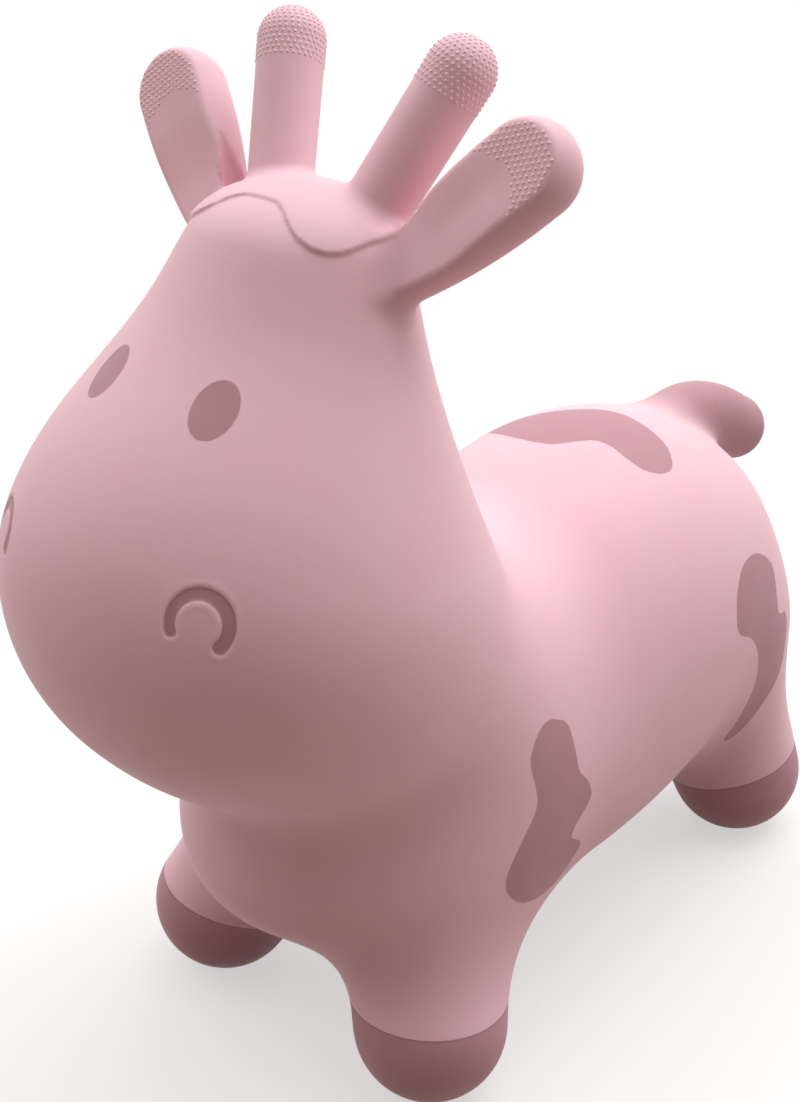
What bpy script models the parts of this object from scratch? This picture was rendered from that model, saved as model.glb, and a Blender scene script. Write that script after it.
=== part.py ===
"""A bouncy ride-on cow: a hollow soft vinyl animal, blown up through a valve in its belly.

Metres, +Z up. The animal faces -Y and its left side is +X. The origin is on the floor, under the
middle of its bounding box. The skin is one surface, the zero level of body(). It is parted where
the real skin bends: under the head, at the four hips, and at the roots of ears, horns and tail.
"""

import math

import bmesh
import bpy
import numpy as np
from mathutils import Matrix, Vector

# The skin and its seams
WALL = 0.003
BEND_GAP = 0.0005
FIXED_GAP = 0.0003
OVERRUN = 0.030
FACET = 0.010
SLOPE_STEP = 0.0001
MERGE_DISTANCE = 0.000001
TINY = 0.000000001
OUTER_KEPT_SHARE = 0.17
INNER_KEPT_SHARE = 0.10

# The torso: a low chest and a higher rump, melted together into a saddle
CHEST_Y = -0.0675
CHEST_Z = 0.127
CHEST_HALF_WIDTH = 0.101
CHEST_HALF_LENGTH = 0.1375
CHEST_HALF_HEIGHT = 0.068
RUMP_Y = 0.101
RUMP_Z = 0.171
RUMP_HALF_WIDTH = 0.110
RUMP_HALF_LENGTH = 0.131
RUMP_HALF_HEIGHT = 0.107
SADDLE_BLEND = 0.120

# The head: a narrow crown running down to a broad muzzle, on a thick neck
CROWN_Y = -0.1445
CROWN_Z = 0.432
CROWN_RADIUS = 0.048
CROWN_FLATNESS = 0.150
MUZZLE_Y = -0.177
MUZZLE_Z = 0.292
MUZZLE_RADIUS = 0.093
THROAT_Y = -0.1995
THROAT_Z = 0.310
THROAT_RADIUS = 0.079
NECK_Y = -0.1005
NECK_Z = 0.214
NECK_RADIUS = 0.083
HEAD_WIDTH_SHARE = 1.10
HEAD_BLEND = 0.060
NECK_BLEND = 0.060

# The legs: short cones that splay outwards and end in round hooves
HIP_Z = 0.134
FRONT_HIP_X = 0.031
FRONT_HIP_Y = -0.0765
FRONT_HIP_RADIUS = 0.0405
FRONT_HOOF_X = 0.076
FRONT_HOOF_Y = -0.1365
REAR_HIP_X = 0.057
REAR_HIP_Y = 0.152
REAR_HIP_RADIUS = 0.041
REAR_HOOF_X = 0.082
REAR_HOOF_Y = 0.167
HOOF_RADIUS = 0.0405
HOOF_SINK = 0.0028
LEG_BLEND = 0.050
HOOF_LINE_Z = 0.049
FRONT_HOOF_TILT = math.radians(12)
REAR_HOOF_TILT = math.radians(18)

# Where the skin bends: balls round the pivots, on which the seams lie
HIP_PIVOT_Z = 0.068
HIP_BALL = 0.056
LEG_CLEARANCE = 0.004
NECK_PIVOT_Y = -0.104
NECK_PIVOT_Z = 0.160
NECK_BALL = 0.150
NECK_PLANE_RISE = 0.069
NECK_PLANE_TILT = math.radians(19)

# The horns, which are the handles, placed from the middle of the crown
HORN_X = 0.0248
HORN_BEHIND = 0.0185
HORN_RISE = 0.023
HORN_LENGTH = 0.0645
HORN_ROOT_RADIUS = 0.0146
HORN_TIP_RADIUS = 0.0153
HORN_BALL = 0.0158
HORN_OUT_SHARE = 0.305
HORN_BACK_SHARE = 0.465

# The ears: flat-faced paddles, placed from the middle of the crown
EAR_X = 0.050
EAR_BEHIND = 0.0065
EAR_RISE = 0.005
EAR_LENGTH = 0.071
EAR_HALF_WIDTH = 0.0232
EAR_ROOT_HALF_WIDTH = 0.0100
EAR_FRONT_DEPTH = 0.0085
EAR_BACK_DEPTH = 0.0150
EAR_BALL = 0.0142
EAR_OUT_SHARE = 0.66
EAR_BACK_SHARE = 0.34
EAR_FACING_SHARES = (0.01, -0.89, 0.45)
EAR_FLATTEN_SHARE = 0.45
EAR_FLAT_FACE_SHARE = 0.90
EAR_FACE_POWER = 0.55

# The tail: a stub that droops at its darker end, and turns on a ball sunk into the rump
TAIL_Y = 0.194
TAIL_Z = 0.237
TAIL_SINK = 0.0071
TAIL_REACH = 0.0736
TAIL_DROP = 0.0168
TAIL_ROOT_RADIUS = 0.0210
TAIL_TIP_RADIUS = 0.0215
TAIL_BALL = 0.0340
TAIL_BALL_LIP = 0.0012
TAIL_SEAM_SHARE = 0.50
TAIL_ARCH_SHARES = ((0.0, 0.0), (0.26, -0.54), (0.61, -0.02), (1.0, 1.0))

# Painted marks, each a thin pad on the skin
PAINT_LIFT = 0.0005
PATCH_LIFT = 0.0009
PAINT_THICK = 0.0008
RELIEF_LIFT = 0.0008
RELIEF_THICK = 0.0014
EYE_X = 0.0315
EYE_Y = -0.225
EYE_Z = 0.402
EYE_HALF_HEIGHT = 0.0124
EYE_HALF_WIDTH = 0.0098
EYE_LEAN = math.radians(-17)
NOSTRIL_X = 0.0610
NOSTRIL_Y = -0.2663
NOSTRIL_Z = 0.333
NOSTRIL_RADIUS = 0.0121
NOSTRIL_HALF_STROKE = 0.0030
NOSTRIL_TAIL = 0.0080
NOSTRIL_LEAN = math.radians(-11)
# The forelock's edge on the crown: degrees round from the front, and degrees down from the top
FORELOCK_EDGE_DEGREES = (
    (0, 32), (15, 31), (30, 35), (37, 46), (48, 58), (64, 64), (80, 60), (92, 45), (108, 27), (180, 24),
)
BACK_PATCH_Y = 0.094
BACK_PATCH_LENGTH = 0.130
BACK_PATCH_HALF_WIDTH = 0.029
BACK_PATCH_LINE_SHARES = (
    (-0.56, -0.01), (-0.35, -0.035), (-0.19, -0.03), (-0.05, 0.01), (0.08, 0.065), (0.19, 0.073),
    (0.31, 0.042), (0.44, 0.02),
)
BACK_PATCH_WIDTH_SHARES = (0.28, 0.62, 0.84, 1.0, 0.74, 0.64, 0.57, 0.40)
SHOULDER_PATCH_Y = -0.077
SHOULDER_PATCH_Z = 0.155
SHOULDER_PATCH_LENGTH = 0.104
SHOULDER_PATCH_HALF_WIDTH = 0.0260
SHOULDER_PATCH_LINE_SHARES = (
    (0.06, 0.48), (0.04, 0.34), (0.06, 0.19), (0.07, 0.05), (0, -0.09), (-0.07, -0.24), (-0.03, -0.48),
)
SHOULDER_PATCH_WIDTH_SHARES = (0.60, 0.67, 0.70, 0.82, 0.90, 0.98, 1.0)
FLANK_PATCH_Y = 0.124
FLANK_PATCH_Z = 0.155
FLANK_PATCH_LENGTH = 0.130
FLANK_PATCH_HALF_WIDTH = 0.028
FLANK_PATCH_LINE_SHARES = (
    (-0.05, 0.48), (-0.06, 0.35), (-0.04, 0.24), (0.02, 0.13), (0.09, 0), (0.08, -0.13), (0.03, -0.25),
    (-0.06, -0.40),
)
FLANK_PATCH_WIDTH_SHARES = (0.71, 1.0, 0.96, 0.71, 0.75, 0.68, 0.43, 0.18)
RIGHT_SHOULDER_PATCH_Y = -0.0495
RIGHT_SHOULDER_PATCH_Z = 0.178
RIGHT_FLANK_PATCH_Y = 0.1005
RIGHT_FLANK_PATCH_Z = 0.160

# The valve in the belly
VALVE_Y = 0.0125
SEAT_FLANGE_RADIUS = 0.0125
SEAT_FLANGE_THICK = 0.0016
SEAT_RADIUS = 0.0085
SEAT_DEPTH = 0.014
SEAT_BORE = 0.0045
PLUG_HEAD_RADIUS = 0.0080
PLUG_HEAD_THICK = 0.0018
PLUG_LENGTH = 0.012
PLUG_TIP_SHARE = 0.78

BALLS_PER_LIMB = 7
SETTLE_STEPS = 12
ROUND_STEPS = 16
HIP_STEPS = 36
NECK_STEPS = 60
TAIL_STATIONS = 10
PAD_STEPS = 11
PATCH_STEPS = 15

SCENE = bpy.context.scene.collection
for leftover in list(bpy.data.objects):
    bpy.data.objects.remove(leftover)


def ellipsoid(points, centre, radii):
    """Nearly the distance to an ellipsoid: the scaled distance over its slope."""
    offset = points - centre
    scaled = np.linalg.norm(offset / radii, axis=1)
    slope = np.linalg.norm(offset / np.square(radii), axis=1)
    return scaled * (scaled - 1) / np.maximum(slope, TINY)


def cone(points, start, end, start_radius, end_radius):
    """The distance to the hull of two balls, a cone with round ends."""
    along = end - start
    length2 = along @ along
    shrink = start_radius - end_radius
    flank2 = length2 - shrink * shrink
    offset = points - start
    y = offset @ along
    z = y - length2
    across = offset * length2 - y[:, None] * along
    x2 = (across * across).sum(axis=1)
    y2 = y * y * length2
    z2 = z * z * length2
    limit = np.sign(shrink) * shrink * shrink * x2
    side = (np.sqrt(x2 * flank2 / length2) + y * shrink) / length2 - start_radius
    near_start = np.sqrt(x2 + y2) / length2 - start_radius
    near_end = np.sqrt(x2 + z2) / length2 - end_radius
    side = np.where(np.sign(y) * flank2 * y2 < limit, near_start, side)
    return np.where(np.sign(z) * flank2 * z2 > limit, near_end, side)


def melt(a, b, width):
    """The smaller of two distances, rounded off where they are within width of each other."""
    near = np.maximum(width - np.abs(a - b), 0) / width
    return np.minimum(a, b) - near * near * width / 4


def vec(x, y, z):
    return np.array((x, y, z))


CHEST = vec(0, CHEST_Y, CHEST_Z)
CHEST_RADII = vec(CHEST_HALF_WIDTH, CHEST_HALF_LENGTH, CHEST_HALF_HEIGHT)
RUMP = vec(0, RUMP_Y, RUMP_Z)
RUMP_RADII = vec(RUMP_HALF_WIDTH, RUMP_HALF_LENGTH, RUMP_HALF_HEIGHT)
CROWN = vec(0, CROWN_Y, CROWN_Z)
MUZZLE = vec(0, MUZZLE_Y, MUZZLE_Z)
THROAT = vec(0, THROAT_Y, THROAT_Z)
NECK = vec(0, NECK_Y, NECK_Z)
HOOF_Z = HOOF_RADIUS - HOOF_SINK
FRONT_HIP = vec(FRONT_HIP_X, FRONT_HIP_Y, HIP_Z)
FRONT_HOOF = vec(FRONT_HOOF_X, FRONT_HOOF_Y, HOOF_Z)
REAR_HIP = vec(REAR_HIP_X, REAR_HIP_Y, HIP_Z)
REAR_HOOF = vec(REAR_HOOF_X, REAR_HOOF_Y, HOOF_Z)
LEG_CONES = (
    (FRONT_HIP, FRONT_HOOF, FRONT_HIP_RADIUS, HOOF_RADIUS),
    (REAR_HIP, REAR_HOOF, REAR_HIP_RADIUS, HOOF_RADIUS),
)
HEAD_CONES = (
    (CROWN, MUZZLE, CROWN_RADIUS, MUZZLE_RADIUS),
    (THROAT, NECK, THROAT_RADIUS, NECK_RADIUS),
)


def body(points):
    """The signed distance to the skin's outer face, negative inside."""
    half = np.abs(points) * vec(1, 0, 0) + points * vec(0, 1, 1)
    shape = melt(ellipsoid(half, CHEST, CHEST_RADII), ellipsoid(half, RUMP, RUMP_RADII), SADDLE_BLEND)
    for leg in LEG_CONES:
        shape = melt(shape, cone(half, *leg), LEG_BLEND)
    narrow = half / vec(HEAD_WIDTH_SHARE, 1, 1)
    narrow[:, 2] += np.square(np.maximum(narrow[:, 2] - CROWN_Z, 0)) / CROWN_FLATNESS
    face, neck = (cone(narrow, *part) for part in HEAD_CONES)
    return melt(shape, melt(face, neck, HEAD_BLEND), NECK_BLEND)


def slope(points):
    """The gradient of body(), by central differences."""
    columns = []
    for axis in np.eye(3) * SLOPE_STEP:
        columns.append((body(points + axis) - body(points - axis)) / (2 * SLOPE_STEP))
    return np.stack(columns, axis=1)


def settled(points, level=0.0):
    """The points moved along the gradient until body() equals level there."""
    points = np.array(points, float)
    for _ in range(SETTLE_STEPS):
        gradient = slope(points)
        move = gradient * ((body(points) - level) / (gradient * gradient).sum(axis=1))[:, None]
        length = np.linalg.norm(move, axis=1, keepdims=True)
        points -= move * np.minimum(1, FACET / np.maximum(length, TINY))
    return points


def unit(vector):
    return vector / np.linalg.norm(vector)


def finish(name, colour, roughness):
    """A plain moulded vinyl finish, its colour as sRGB hex."""
    material = bpy.data.materials.new(name)
    material.use_nodes = True
    shader = material.node_tree.nodes["Principled BSDF"]
    parts = [int(colour[i : i + 2], 16) / 255 for i in (0, 2, 4)]
    linear = [p / 12.92 if p <= 0.04045 else ((p + 0.055) / 1.055) ** 2.4 for p in parts]
    shader.inputs["Base Color"].default_value = (*linear, 1)
    shader.inputs["Roughness"].default_value = roughness
    shader.inputs["Metallic"].default_value = 0
    return material


PINK = finish("pink_vinyl", "E9BCC8", 0.42)
MAUVE = finish("mauve_vinyl_paint", "B98792", 0.45)
VALVE_WHITE = finish("valve_rubber", "E6DDD6", 0.50)


def add_piece(name, mesh, material, cutter=False):
    piece = bpy.data.objects.new(name, mesh)
    SCENE.objects.link(piece)
    mesh.materials.clear()
    mesh.materials.append(material)
    mesh.shade_smooth()
    if cutter:
        piece.hide_render = True
        piece.display_type = "WIRE"
    return piece


def mesh_of(bm, name):
    """A mesh made of a bmesh whose faces are turned to point outwards."""
    bmesh.ops.recalc_face_normals(bm, faces=bm.faces)
    mesh = bpy.data.meshes.new(name)
    bm.to_mesh(mesh)
    bm.free()
    return mesh


def baked(piece):
    """The piece's mesh as its modifiers leave it. The piece itself is taken away."""
    bpy.context.view_layer.update()
    graph = bpy.context.evaluated_depsgraph_get()
    mesh = bpy.data.meshes.new_from_object(piece.evaluated_get(graph))
    bpy.data.objects.remove(piece)
    return mesh


def cut(piece, operation, other):
    """Keep (INTERSECT) or take away (DIFFERENCE) what another closed shape holds."""
    modifier = piece.modifiers.new(f"{operation}_{other.name}", "BOOLEAN")
    modifier.operation = operation
    modifier.object = other
    modifier.solver = "EXACT"


def origin_of(piece):
    """The place of a piece's origin in the world."""
    place = Vector()
    while piece:
        place += piece.location
        piece = piece.parent
    return place


def hang(piece, origin, carrier=None):
    """Put the piece's origin at a point of its joint, and hang it on the piece that carries it."""
    origin = Vector(origin)
    piece.data.transform(Matrix.Translation(-origin))
    piece.location = origin - origin_of(carrier)
    piece.parent = carrier
    return piece


def mirrored(point, side):
    return vec(point[0] * side, point[1], point[2])


# The hollow skin

def ball_formers():
    """Balls that fill the animal roughly: its two halves, its head and neck, and its four legs."""
    bm = bmesh.new()
    balls = [(CHEST, CHEST_RADII), (RUMP, RUMP_RADII)]
    for start, end, start_radius, end_radius in HEAD_CONES + LEG_CONES:
        sides = (1,) if start[0] == 0 else (1, -1)
        for share in np.linspace(0, 1, BALLS_PER_LIMB):
            radius = start_radius + share * (end_radius - start_radius)
            for side in sides:
                balls.append((mirrored(start + share * (end - start), side), vec(1, 1, 1) * radius))
    for centre, radii in balls:
        place = Matrix.Translation(centre) @ Matrix.Diagonal((*radii, 1))
        bmesh.ops.create_icosphere(bm, subdivisions=3, radius=1, matrix=place)
    return mesh_of(bm, "formers")


def remeshed(mesh):
    """The union of the mesh's closed shapes, as even facets."""
    former = add_piece("former", mesh, PINK)
    modifier = former.modifiers.new("even_facets", "REMESH")
    modifier.mode = "VOXEL"
    modifier.voxel_size = FACET
    return baked(former)


def thinned(mesh, kept_share):
    """The mesh with its facets merged where it is nearly flat."""
    former = add_piece("former", mesh, PINK)
    modifier = former.modifiers.new("fewer_facets", "DECIMATE")
    modifier.ratio = kept_share
    return baked(former)


def settle_mesh(mesh, level, floor):
    """Every vertex moved onto a level of body(), and none left below the floor."""
    points = np.empty(len(mesh.vertices) * 3)
    mesh.vertices.foreach_get("co", points)
    points = settled(points.reshape(-1, 3), level)
    points[:, 2] = np.maximum(points[:, 2], floor)
    mesh.vertices.foreach_set("co", points.ravel())
    mesh.update()
    return mesh


def skin_shell():
    """The whole skin before it is parted: the outer face less the cavity one wall inside it."""
    below = -OVERRUN
    rough = settle_mesh(remeshed(ball_formers()), 0, below)
    outer = settle_mesh(remeshed(rough), 0, below)
    cavity = settle_mesh(outer.copy(), -WALL, WALL)
    shell = add_piece("shell", settle_mesh(thinned(outer, OUTER_KEPT_SHARE), 0, below), PINK)
    hollow = add_piece("hollow", thinned(cavity, INNER_KEPT_SHARE), PINK, cutter=True)
    cut(shell, "DIFFERENCE", hollow)
    mesh = baked(shell)
    bpy.data.objects.remove(hollow)
    return mesh


def ball_cutter(name, centre, radius, steps):
    bm = bmesh.new()
    bmesh.ops.create_uvsphere(bm, u_segments=steps, v_segments=steps // 2, radius=radius)
    cutter = add_piece(name, mesh_of(bm, name), PINK, cutter=True)
    cutter.location = centre
    return cutter


def half_space(name, point, normal):
    """A block whose one face passes through the point. The block lies on the normal's side."""
    size = 2 * (RUMP_HALF_LENGTH + CHEST_HALF_LENGTH + NECK_Z + CROWN_Z)
    bm = bmesh.new()
    bmesh.ops.create_cube(bm, size=size)
    bmesh.ops.translate(bm, verts=bm.verts, vec=(0, 0, size / 2))
    block = add_piece(name, mesh_of(bm, name), PINK, cutter=True)
    turn = Vector(normal).to_track_quat("Z", "Y").to_matrix().to_4x4()
    block.data.transform(turn)
    block.location = point
    return block


def turned(profile, steps=ROUND_STEPS):
    """A profile of (radius, height) pairs, closed on itself or on the axis, turned round Z."""
    bm = bmesh.new()
    ring = [bm.verts.new((radius, 0, height)) for radius, height in profile]
    edges = [bm.edges.new(pair) for pair in zip(ring, ring[1:])]
    if profile[0][0] > 0:
        edges.append(bm.edges.new((ring[-1], ring[0])))
    bmesh.ops.spin(bm, geom=ring + edges, axis=(0, 0, 1), cent=(0, 0, 0), angle=2 * math.pi,
                   steps=steps, use_merge=True)
    bmesh.ops.remove_doubles(bm, verts=bm.verts, dist=MERGE_DISTANCE)
    return bm


def leg_zone(name, pivot, hoof, ball, post):
    """A ball round the hip's pivot on a post round the leg, which together hold the leg."""
    drop = math.sqrt(ball * ball - post * post)
    last = math.pi - math.atan2(post, drop)
    reach = HIP_PIVOT_Z + HIP_Z + OVERRUN
    angles = np.linspace(0, last, HIP_STEPS // 2)[1:]
    profile = [(0, ball)] + [(ball * math.sin(a), ball * math.cos(a)) for a in angles]
    profile += [(post, -reach), (0, -reach)]
    bm = turned(profile, HIP_STEPS)
    turn = Vector(pivot - hoof).to_track_quat("Z", "Y").to_matrix().to_4x4()
    bm.transform(turn)
    zone = add_piece(name, mesh_of(bm, name), PINK, cutter=True)
    zone.location = pivot
    return zone


def neck_plane():
    """A point and the normal of the plane that parts the head from the back, above the saddle."""
    point = vec(0, NECK_PIVOT_Y, NECK_PIVOT_Z + NECK_PLANE_RISE)
    return point, vec(0, -math.sin(NECK_PLANE_TILT), math.cos(NECK_PLANE_TILT))


def head_zone(name, ball):
    """All that lies above the neck's plane and outside the ball round the neck's pivot."""
    zone = half_space(name, *neck_plane())
    centre = vec(0, NECK_PIVOT_Y, NECK_PIVOT_Z)
    cut(zone, "DIFFERENCE", ball_cutter(f"{name}_ball", centre, ball, NECK_STEPS))
    return zone


def leg_sides():
    """Each leg's name, its hip and hoof, and the way its hoof line rises."""
    for end, hip, hoof, tilt in (
        ("front", FRONT_HIP, FRONT_HOOF, FRONT_HOOF_TILT),
        ("rear", REAR_HIP, REAR_HOOF, REAR_HOOF_TILT),
    ):
        for side_name, side in (("left", 1), ("right", -1)):
            yield f"{end}_{side_name}", mirrored(hip, side), mirrored(hoof, side), tilt


def hip_pivot(hip, hoof):
    """The point of the leg's axis that lies at the height of the hip's pivot."""
    return hip + (hoof - hip) * (hip[2] - HIP_PIVOT_Z) / (hip[2] - hoof[2])


def hoof_line(hip, hoof, tilt):
    """A point of the leg's axis and the normal of the plane where the hoof begins."""
    point = hip + (hoof - hip) * (hip[2] - HOOF_LINE_Z) / (hip[2] - hoof[2])
    outwards = unit((hoof - hip) * vec(1, 1, 0))
    return point, outwards * math.sin(tilt) - vec(0, 0, math.cos(tilt))


def make_skins():
    """The torso, the head, and each leg with its hoof, all cut from one shell."""
    shell = skin_shell()
    neck_pivot = vec(0, NECK_PIVOT_Y, NECK_PIVOT_Z)
    torso = add_piece("torso_skin", shell.copy(), PINK)
    head = add_piece("head_skin", shell.copy(), PINK)
    cut(torso, "DIFFERENCE", head_zone("head_zone_for_torso", NECK_BALL))
    cut(head, "INTERSECT", head_zone("head_zone_for_head", NECK_BALL + BEND_GAP))
    hang(head, neck_pivot, torso)
    floor = half_space("floor_cut", vec(0, 0, 0), vec(0, 0, -1))
    post = HOOF_RADIUS + LEG_CLEARANCE
    for name, hip, hoof, tilt in leg_sides():
        pivot = hip_pivot(hip, hoof)
        socket = leg_zone(f"{name}_socket", pivot, hoof, HIP_BALL + BEND_GAP, post + BEND_GAP)
        zone = leg_zone(f"{name}_zone", pivot, hoof, HIP_BALL, post)
        cut(torso, "DIFFERENCE", socket)
        point, normal = hoof_line(hip, hoof, tilt)
        leg = add_piece(f"{name}_leg", shell.copy(), PINK)
        cut(leg, "INTERSECT", zone)
        cut(leg, "DIFFERENCE", half_space(f"{name}_hoof_cut", point, normal))
        hang(leg, pivot, torso)
        foot = add_piece(f"{name}_hoof", shell.copy(), MAUVE)
        cut(foot, "INTERSECT", zone)
        cut(foot, "INTERSECT", half_space(f"{name}_hoof_zone", point + normal * FIXED_GAP, normal))
        cut(foot, "DIFFERENCE", floor)
        hang(foot, hoof_sole(hoof), leg)
    return torso, head


def hoof_sole(hoof):
    return hoof * vec(1, 1, 0)


# Lofted limbs: ears, horns and tail

def loft(rings, first_pole=None, last_pole=None):
    """Rings of points joined in turn into one closed shape, ending in poles or on itself."""
    bm = bmesh.new()
    rows = [[bm.verts.new(point) for point in ring] for ring in rings]
    pairs = list(zip(rows, rows[1:]))
    if first_pole is None:
        pairs.append((rows[-1], rows[0]))
    for row, following in pairs:
        for i in range(len(row)):
            bm.faces.new((row[i - 1], row[i], following[i], following[i - 1]))
    if first_pole is not None:
        for pole, row in ((first_pole, rows[0]), (last_pole, rows[-1])):
            tip = bm.verts.new(pole)
            for i in range(len(row)):
                bm.faces.new((row[i - 1], row[i], tip))
    return bm


def frame_along(direction, facing):
    """Two unit vectors square to a direction, the second as near as may be to facing."""
    direction = unit(direction)
    front = unit(facing - direction * (facing @ direction))
    return np.cross(direction, front), front


def round_ring(centre, across, front, half_width, front_depth, back_depth, steps=ROUND_STEPS):
    """An oval whose front half and back half have depths of their own."""
    angles = np.linspace(0, 2 * math.pi, steps, endpoint=False)
    depth = np.where(np.sin(angles) > 0, front_depth, back_depth)
    wide = (np.cos(angles) * half_width)[:, None] * across
    deep = (np.sin(angles) * depth)[:, None] * front
    return centre + wide + deep


def smooth_line(points, count):
    """A curve through the points, sampled evenly in each stretch, with its directions."""
    points = np.array(points, float)
    padded = np.vstack((2 * points[0] - points[1], points, 2 * points[-1] - points[-2]))
    places = np.linspace(0, len(points) - 1, count)
    first = np.minimum(places.astype(int), len(points) - 2)
    t = (places - first)[:, None]
    a, b, c, d = (padded[first + i] for i in range(4))
    line = b + t * (c - a) / 2 + t * t * (a - 2.5 * b + 2 * c - d / 2) + t**3 * (1.5 * (b - c) + (d - a) / 2)
    return line, np.gradient(line, axis=0)


def horn_profile(grow):
    """Stations up a horn's axis with their radii, from below its ball to its round tip.

    grow is 0 for the outer face and minus the wall for the bore."""
    ball = HORN_BALL + grow
    tip = HORN_TIP_RADIUS + grow
    root = HORN_ROOT_RADIUS + grow
    low = np.linspace(-0.6, 0.25, 4)
    stations = [(ball * math.sin(a), ball * math.cos(a)) for a in low]
    for share in (0.45, 0.78):
        stations.append((HORN_LENGTH * share, root + (tip - root) * share))
    for angle in np.radians((0, 32, 62)):
        stations.append((HORN_LENGTH + tip * math.sin(angle), tip * math.cos(angle)))
    return stations, HORN_LENGTH + tip


def make_horn(side, side_name, head):
    """A hollow rod with a round end, standing in a round seat in the crown."""
    seed = CROWN + vec(HORN_X, HORN_BEHIND, HORN_RISE)
    pivot = settled([mirrored(seed, side)])[0]
    up = unit(vec(side * HORN_OUT_SHARE, HORN_BACK_SHARE,
                  math.sqrt(1 - HORN_OUT_SHARE**2 - HORN_BACK_SHARE**2)))
    across, front = frame_along(up, vec(0, -1, 0))
    faces = []
    for grow in (0, -WALL):
        stations, end = horn_profile(grow)
        rings = [round_ring(pivot + up * s, across, front, r, r, r) for s, r in stations]
        faces.append((rings, pivot + up * end))
    (outer, outer_end), (inner, inner_end) = faces
    bm = loft(outer[::-1] + inner, outer_end, inner_end)
    horn = add_piece(f"{side_name}_horn", mesh_of(bm, "horn"), PINK)
    seat = ball_cutter(f"{side_name}_horn_seat", pivot, HORN_BALL + BEND_GAP, ROUND_STEPS * 2)
    cut(head, "DIFFERENCE", seat)
    return hang(horn, pivot, head)


def ear_sections(grow):
    """Stations up an ear's axis with half width, front depth and back depth.

    The ball at the root flattens into the paddle, whose end is rounded off."""
    ball = EAR_BALL + grow
    low = np.linspace(-0.6, 0.6, 3)
    sections = [(ball * math.sin(a), *(ball * math.cos(a),) * 3) for a in low]
    wide = EAR_HALF_WIDTH + grow
    paddle = np.array((wide, EAR_FRONT_DEPTH + grow, EAR_BACK_DEPTH + grow))
    for share in (0.34, 0.58, 0.82):
        root = EAR_ROOT_HALF_WIDTH + grow
        width = root + (wide - root) * share
        flat = min(share / EAR_FLATTEN_SHARE, 1)
        depths = ball + (paddle[1:] - ball) * flat * flat * (3 - 2 * flat)
        sections.append((EAR_LENGTH * share, width, *depths))
    for angle in np.radians((0, 28, 54, 76)):
        sections.append((EAR_LENGTH + wide * math.sin(angle), *(paddle * math.cos(angle))))
    return sections, EAR_LENGTH + wide


def make_ear(side, side_name, head):
    """A hollow paddle with a flat face in front, standing in a round seat beside the crown."""
    seed = CROWN + vec(EAR_X, EAR_BEHIND, EAR_RISE)
    pivot = settled([mirrored(seed, side)])[0]
    up = unit(vec(side * EAR_OUT_SHARE, EAR_BACK_SHARE,
                  math.sqrt(1 - EAR_OUT_SHARE**2 - EAR_BACK_SHARE**2)))
    across, front = frame_along(up, mirrored(EAR_FACING_SHARES, side))
    faces = []
    for grow in (0, -WALL):
        sections, end = ear_sections(grow)
        rings = [flat_faced_ring(pivot + up * s, across, front, *sizes) for s, *sizes in sections]
        faces.append((rings, pivot + up * end))
    (outer, outer_end), (inner, inner_end) = faces
    bm = loft(outer[::-1] + inner, outer_end, inner_end)
    ear = add_piece(f"{side_name}_ear", mesh_of(bm, "ear"), PINK)
    seat = ball_cutter(f"{side_name}_ear_seat", pivot, EAR_BALL + BEND_GAP, ROUND_STEPS * 2)
    cut(head, "DIFFERENCE", seat)
    return hang(ear, pivot, head)


def flat_faced_ring(centre, across, front, half_width, front_depth, back_depth):
    """An oval with a flattened front: there the sine is raised to a power below one."""
    angles = np.linspace(0, 2 * math.pi, ROUND_STEPS, endpoint=False)
    sine = np.sin(angles)
    flat = front_depth < half_width * EAR_FLAT_FACE_SHARE
    power = EAR_FACE_POWER if flat else 1
    deep = np.where(sine > 0, front_depth * np.abs(sine) ** power, back_depth * sine)
    return centre + (np.cos(angles) * half_width)[:, None] * across + deep[:, None] * front


def tail_line(pivot):
    """The tail's centre line with its directions, from the rump to the middle of its round end."""
    shares = np.array(TAIL_ARCH_SHARES)
    points = np.zeros((len(shares), 3))
    points[:, 1] = shares[:, 0] * TAIL_REACH
    points[:, 2] = -shares[:, 1] * TAIL_DROP
    return smooth_line(points + pivot, TAIL_STATIONS)


def tail_rings(pivot, grow):
    """The rings of the tail's root ball, of its tube, and of its round end, with the end's pole."""
    line, ways = tail_line(pivot)
    across = vec(1, 0, 0)
    ball = TAIL_BALL + grow

    def ring(centre, way, radius):
        return round_ring(centre, across, np.cross(unit(way), across), radius, radius, radius)

    start = unit(ways[0])
    lip = math.acos((TAIL_ROOT_RADIUS + TAIL_BALL_LIP) / TAIL_BALL)
    root = [ring(pivot + start * ball * math.sin(a), start, ball * math.cos(a))
            for a in np.linspace(-0.6, lip, 4)]
    shares = np.linspace(0, 1, len(line))
    radii = TAIL_ROOT_RADIUS + (TAIL_TIP_RADIUS - TAIL_ROOT_RADIUS) * shares + grow
    clear = (line - pivot) @ start > TAIL_BALL * math.sin(lip) + TAIL_BALL_LIP
    tube = [ring(p, w, r) for p, w, r in zip(line[clear], ways[clear], radii[clear])]
    way = unit(ways[-1])
    end = [ring(line[-1] + way * radii[-1] * math.sin(a), way, radii[-1] * math.cos(a))
           for a in np.radians((22, 44, 66))]
    return root, tube, end, line[-1] + way * radii[-1]


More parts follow.
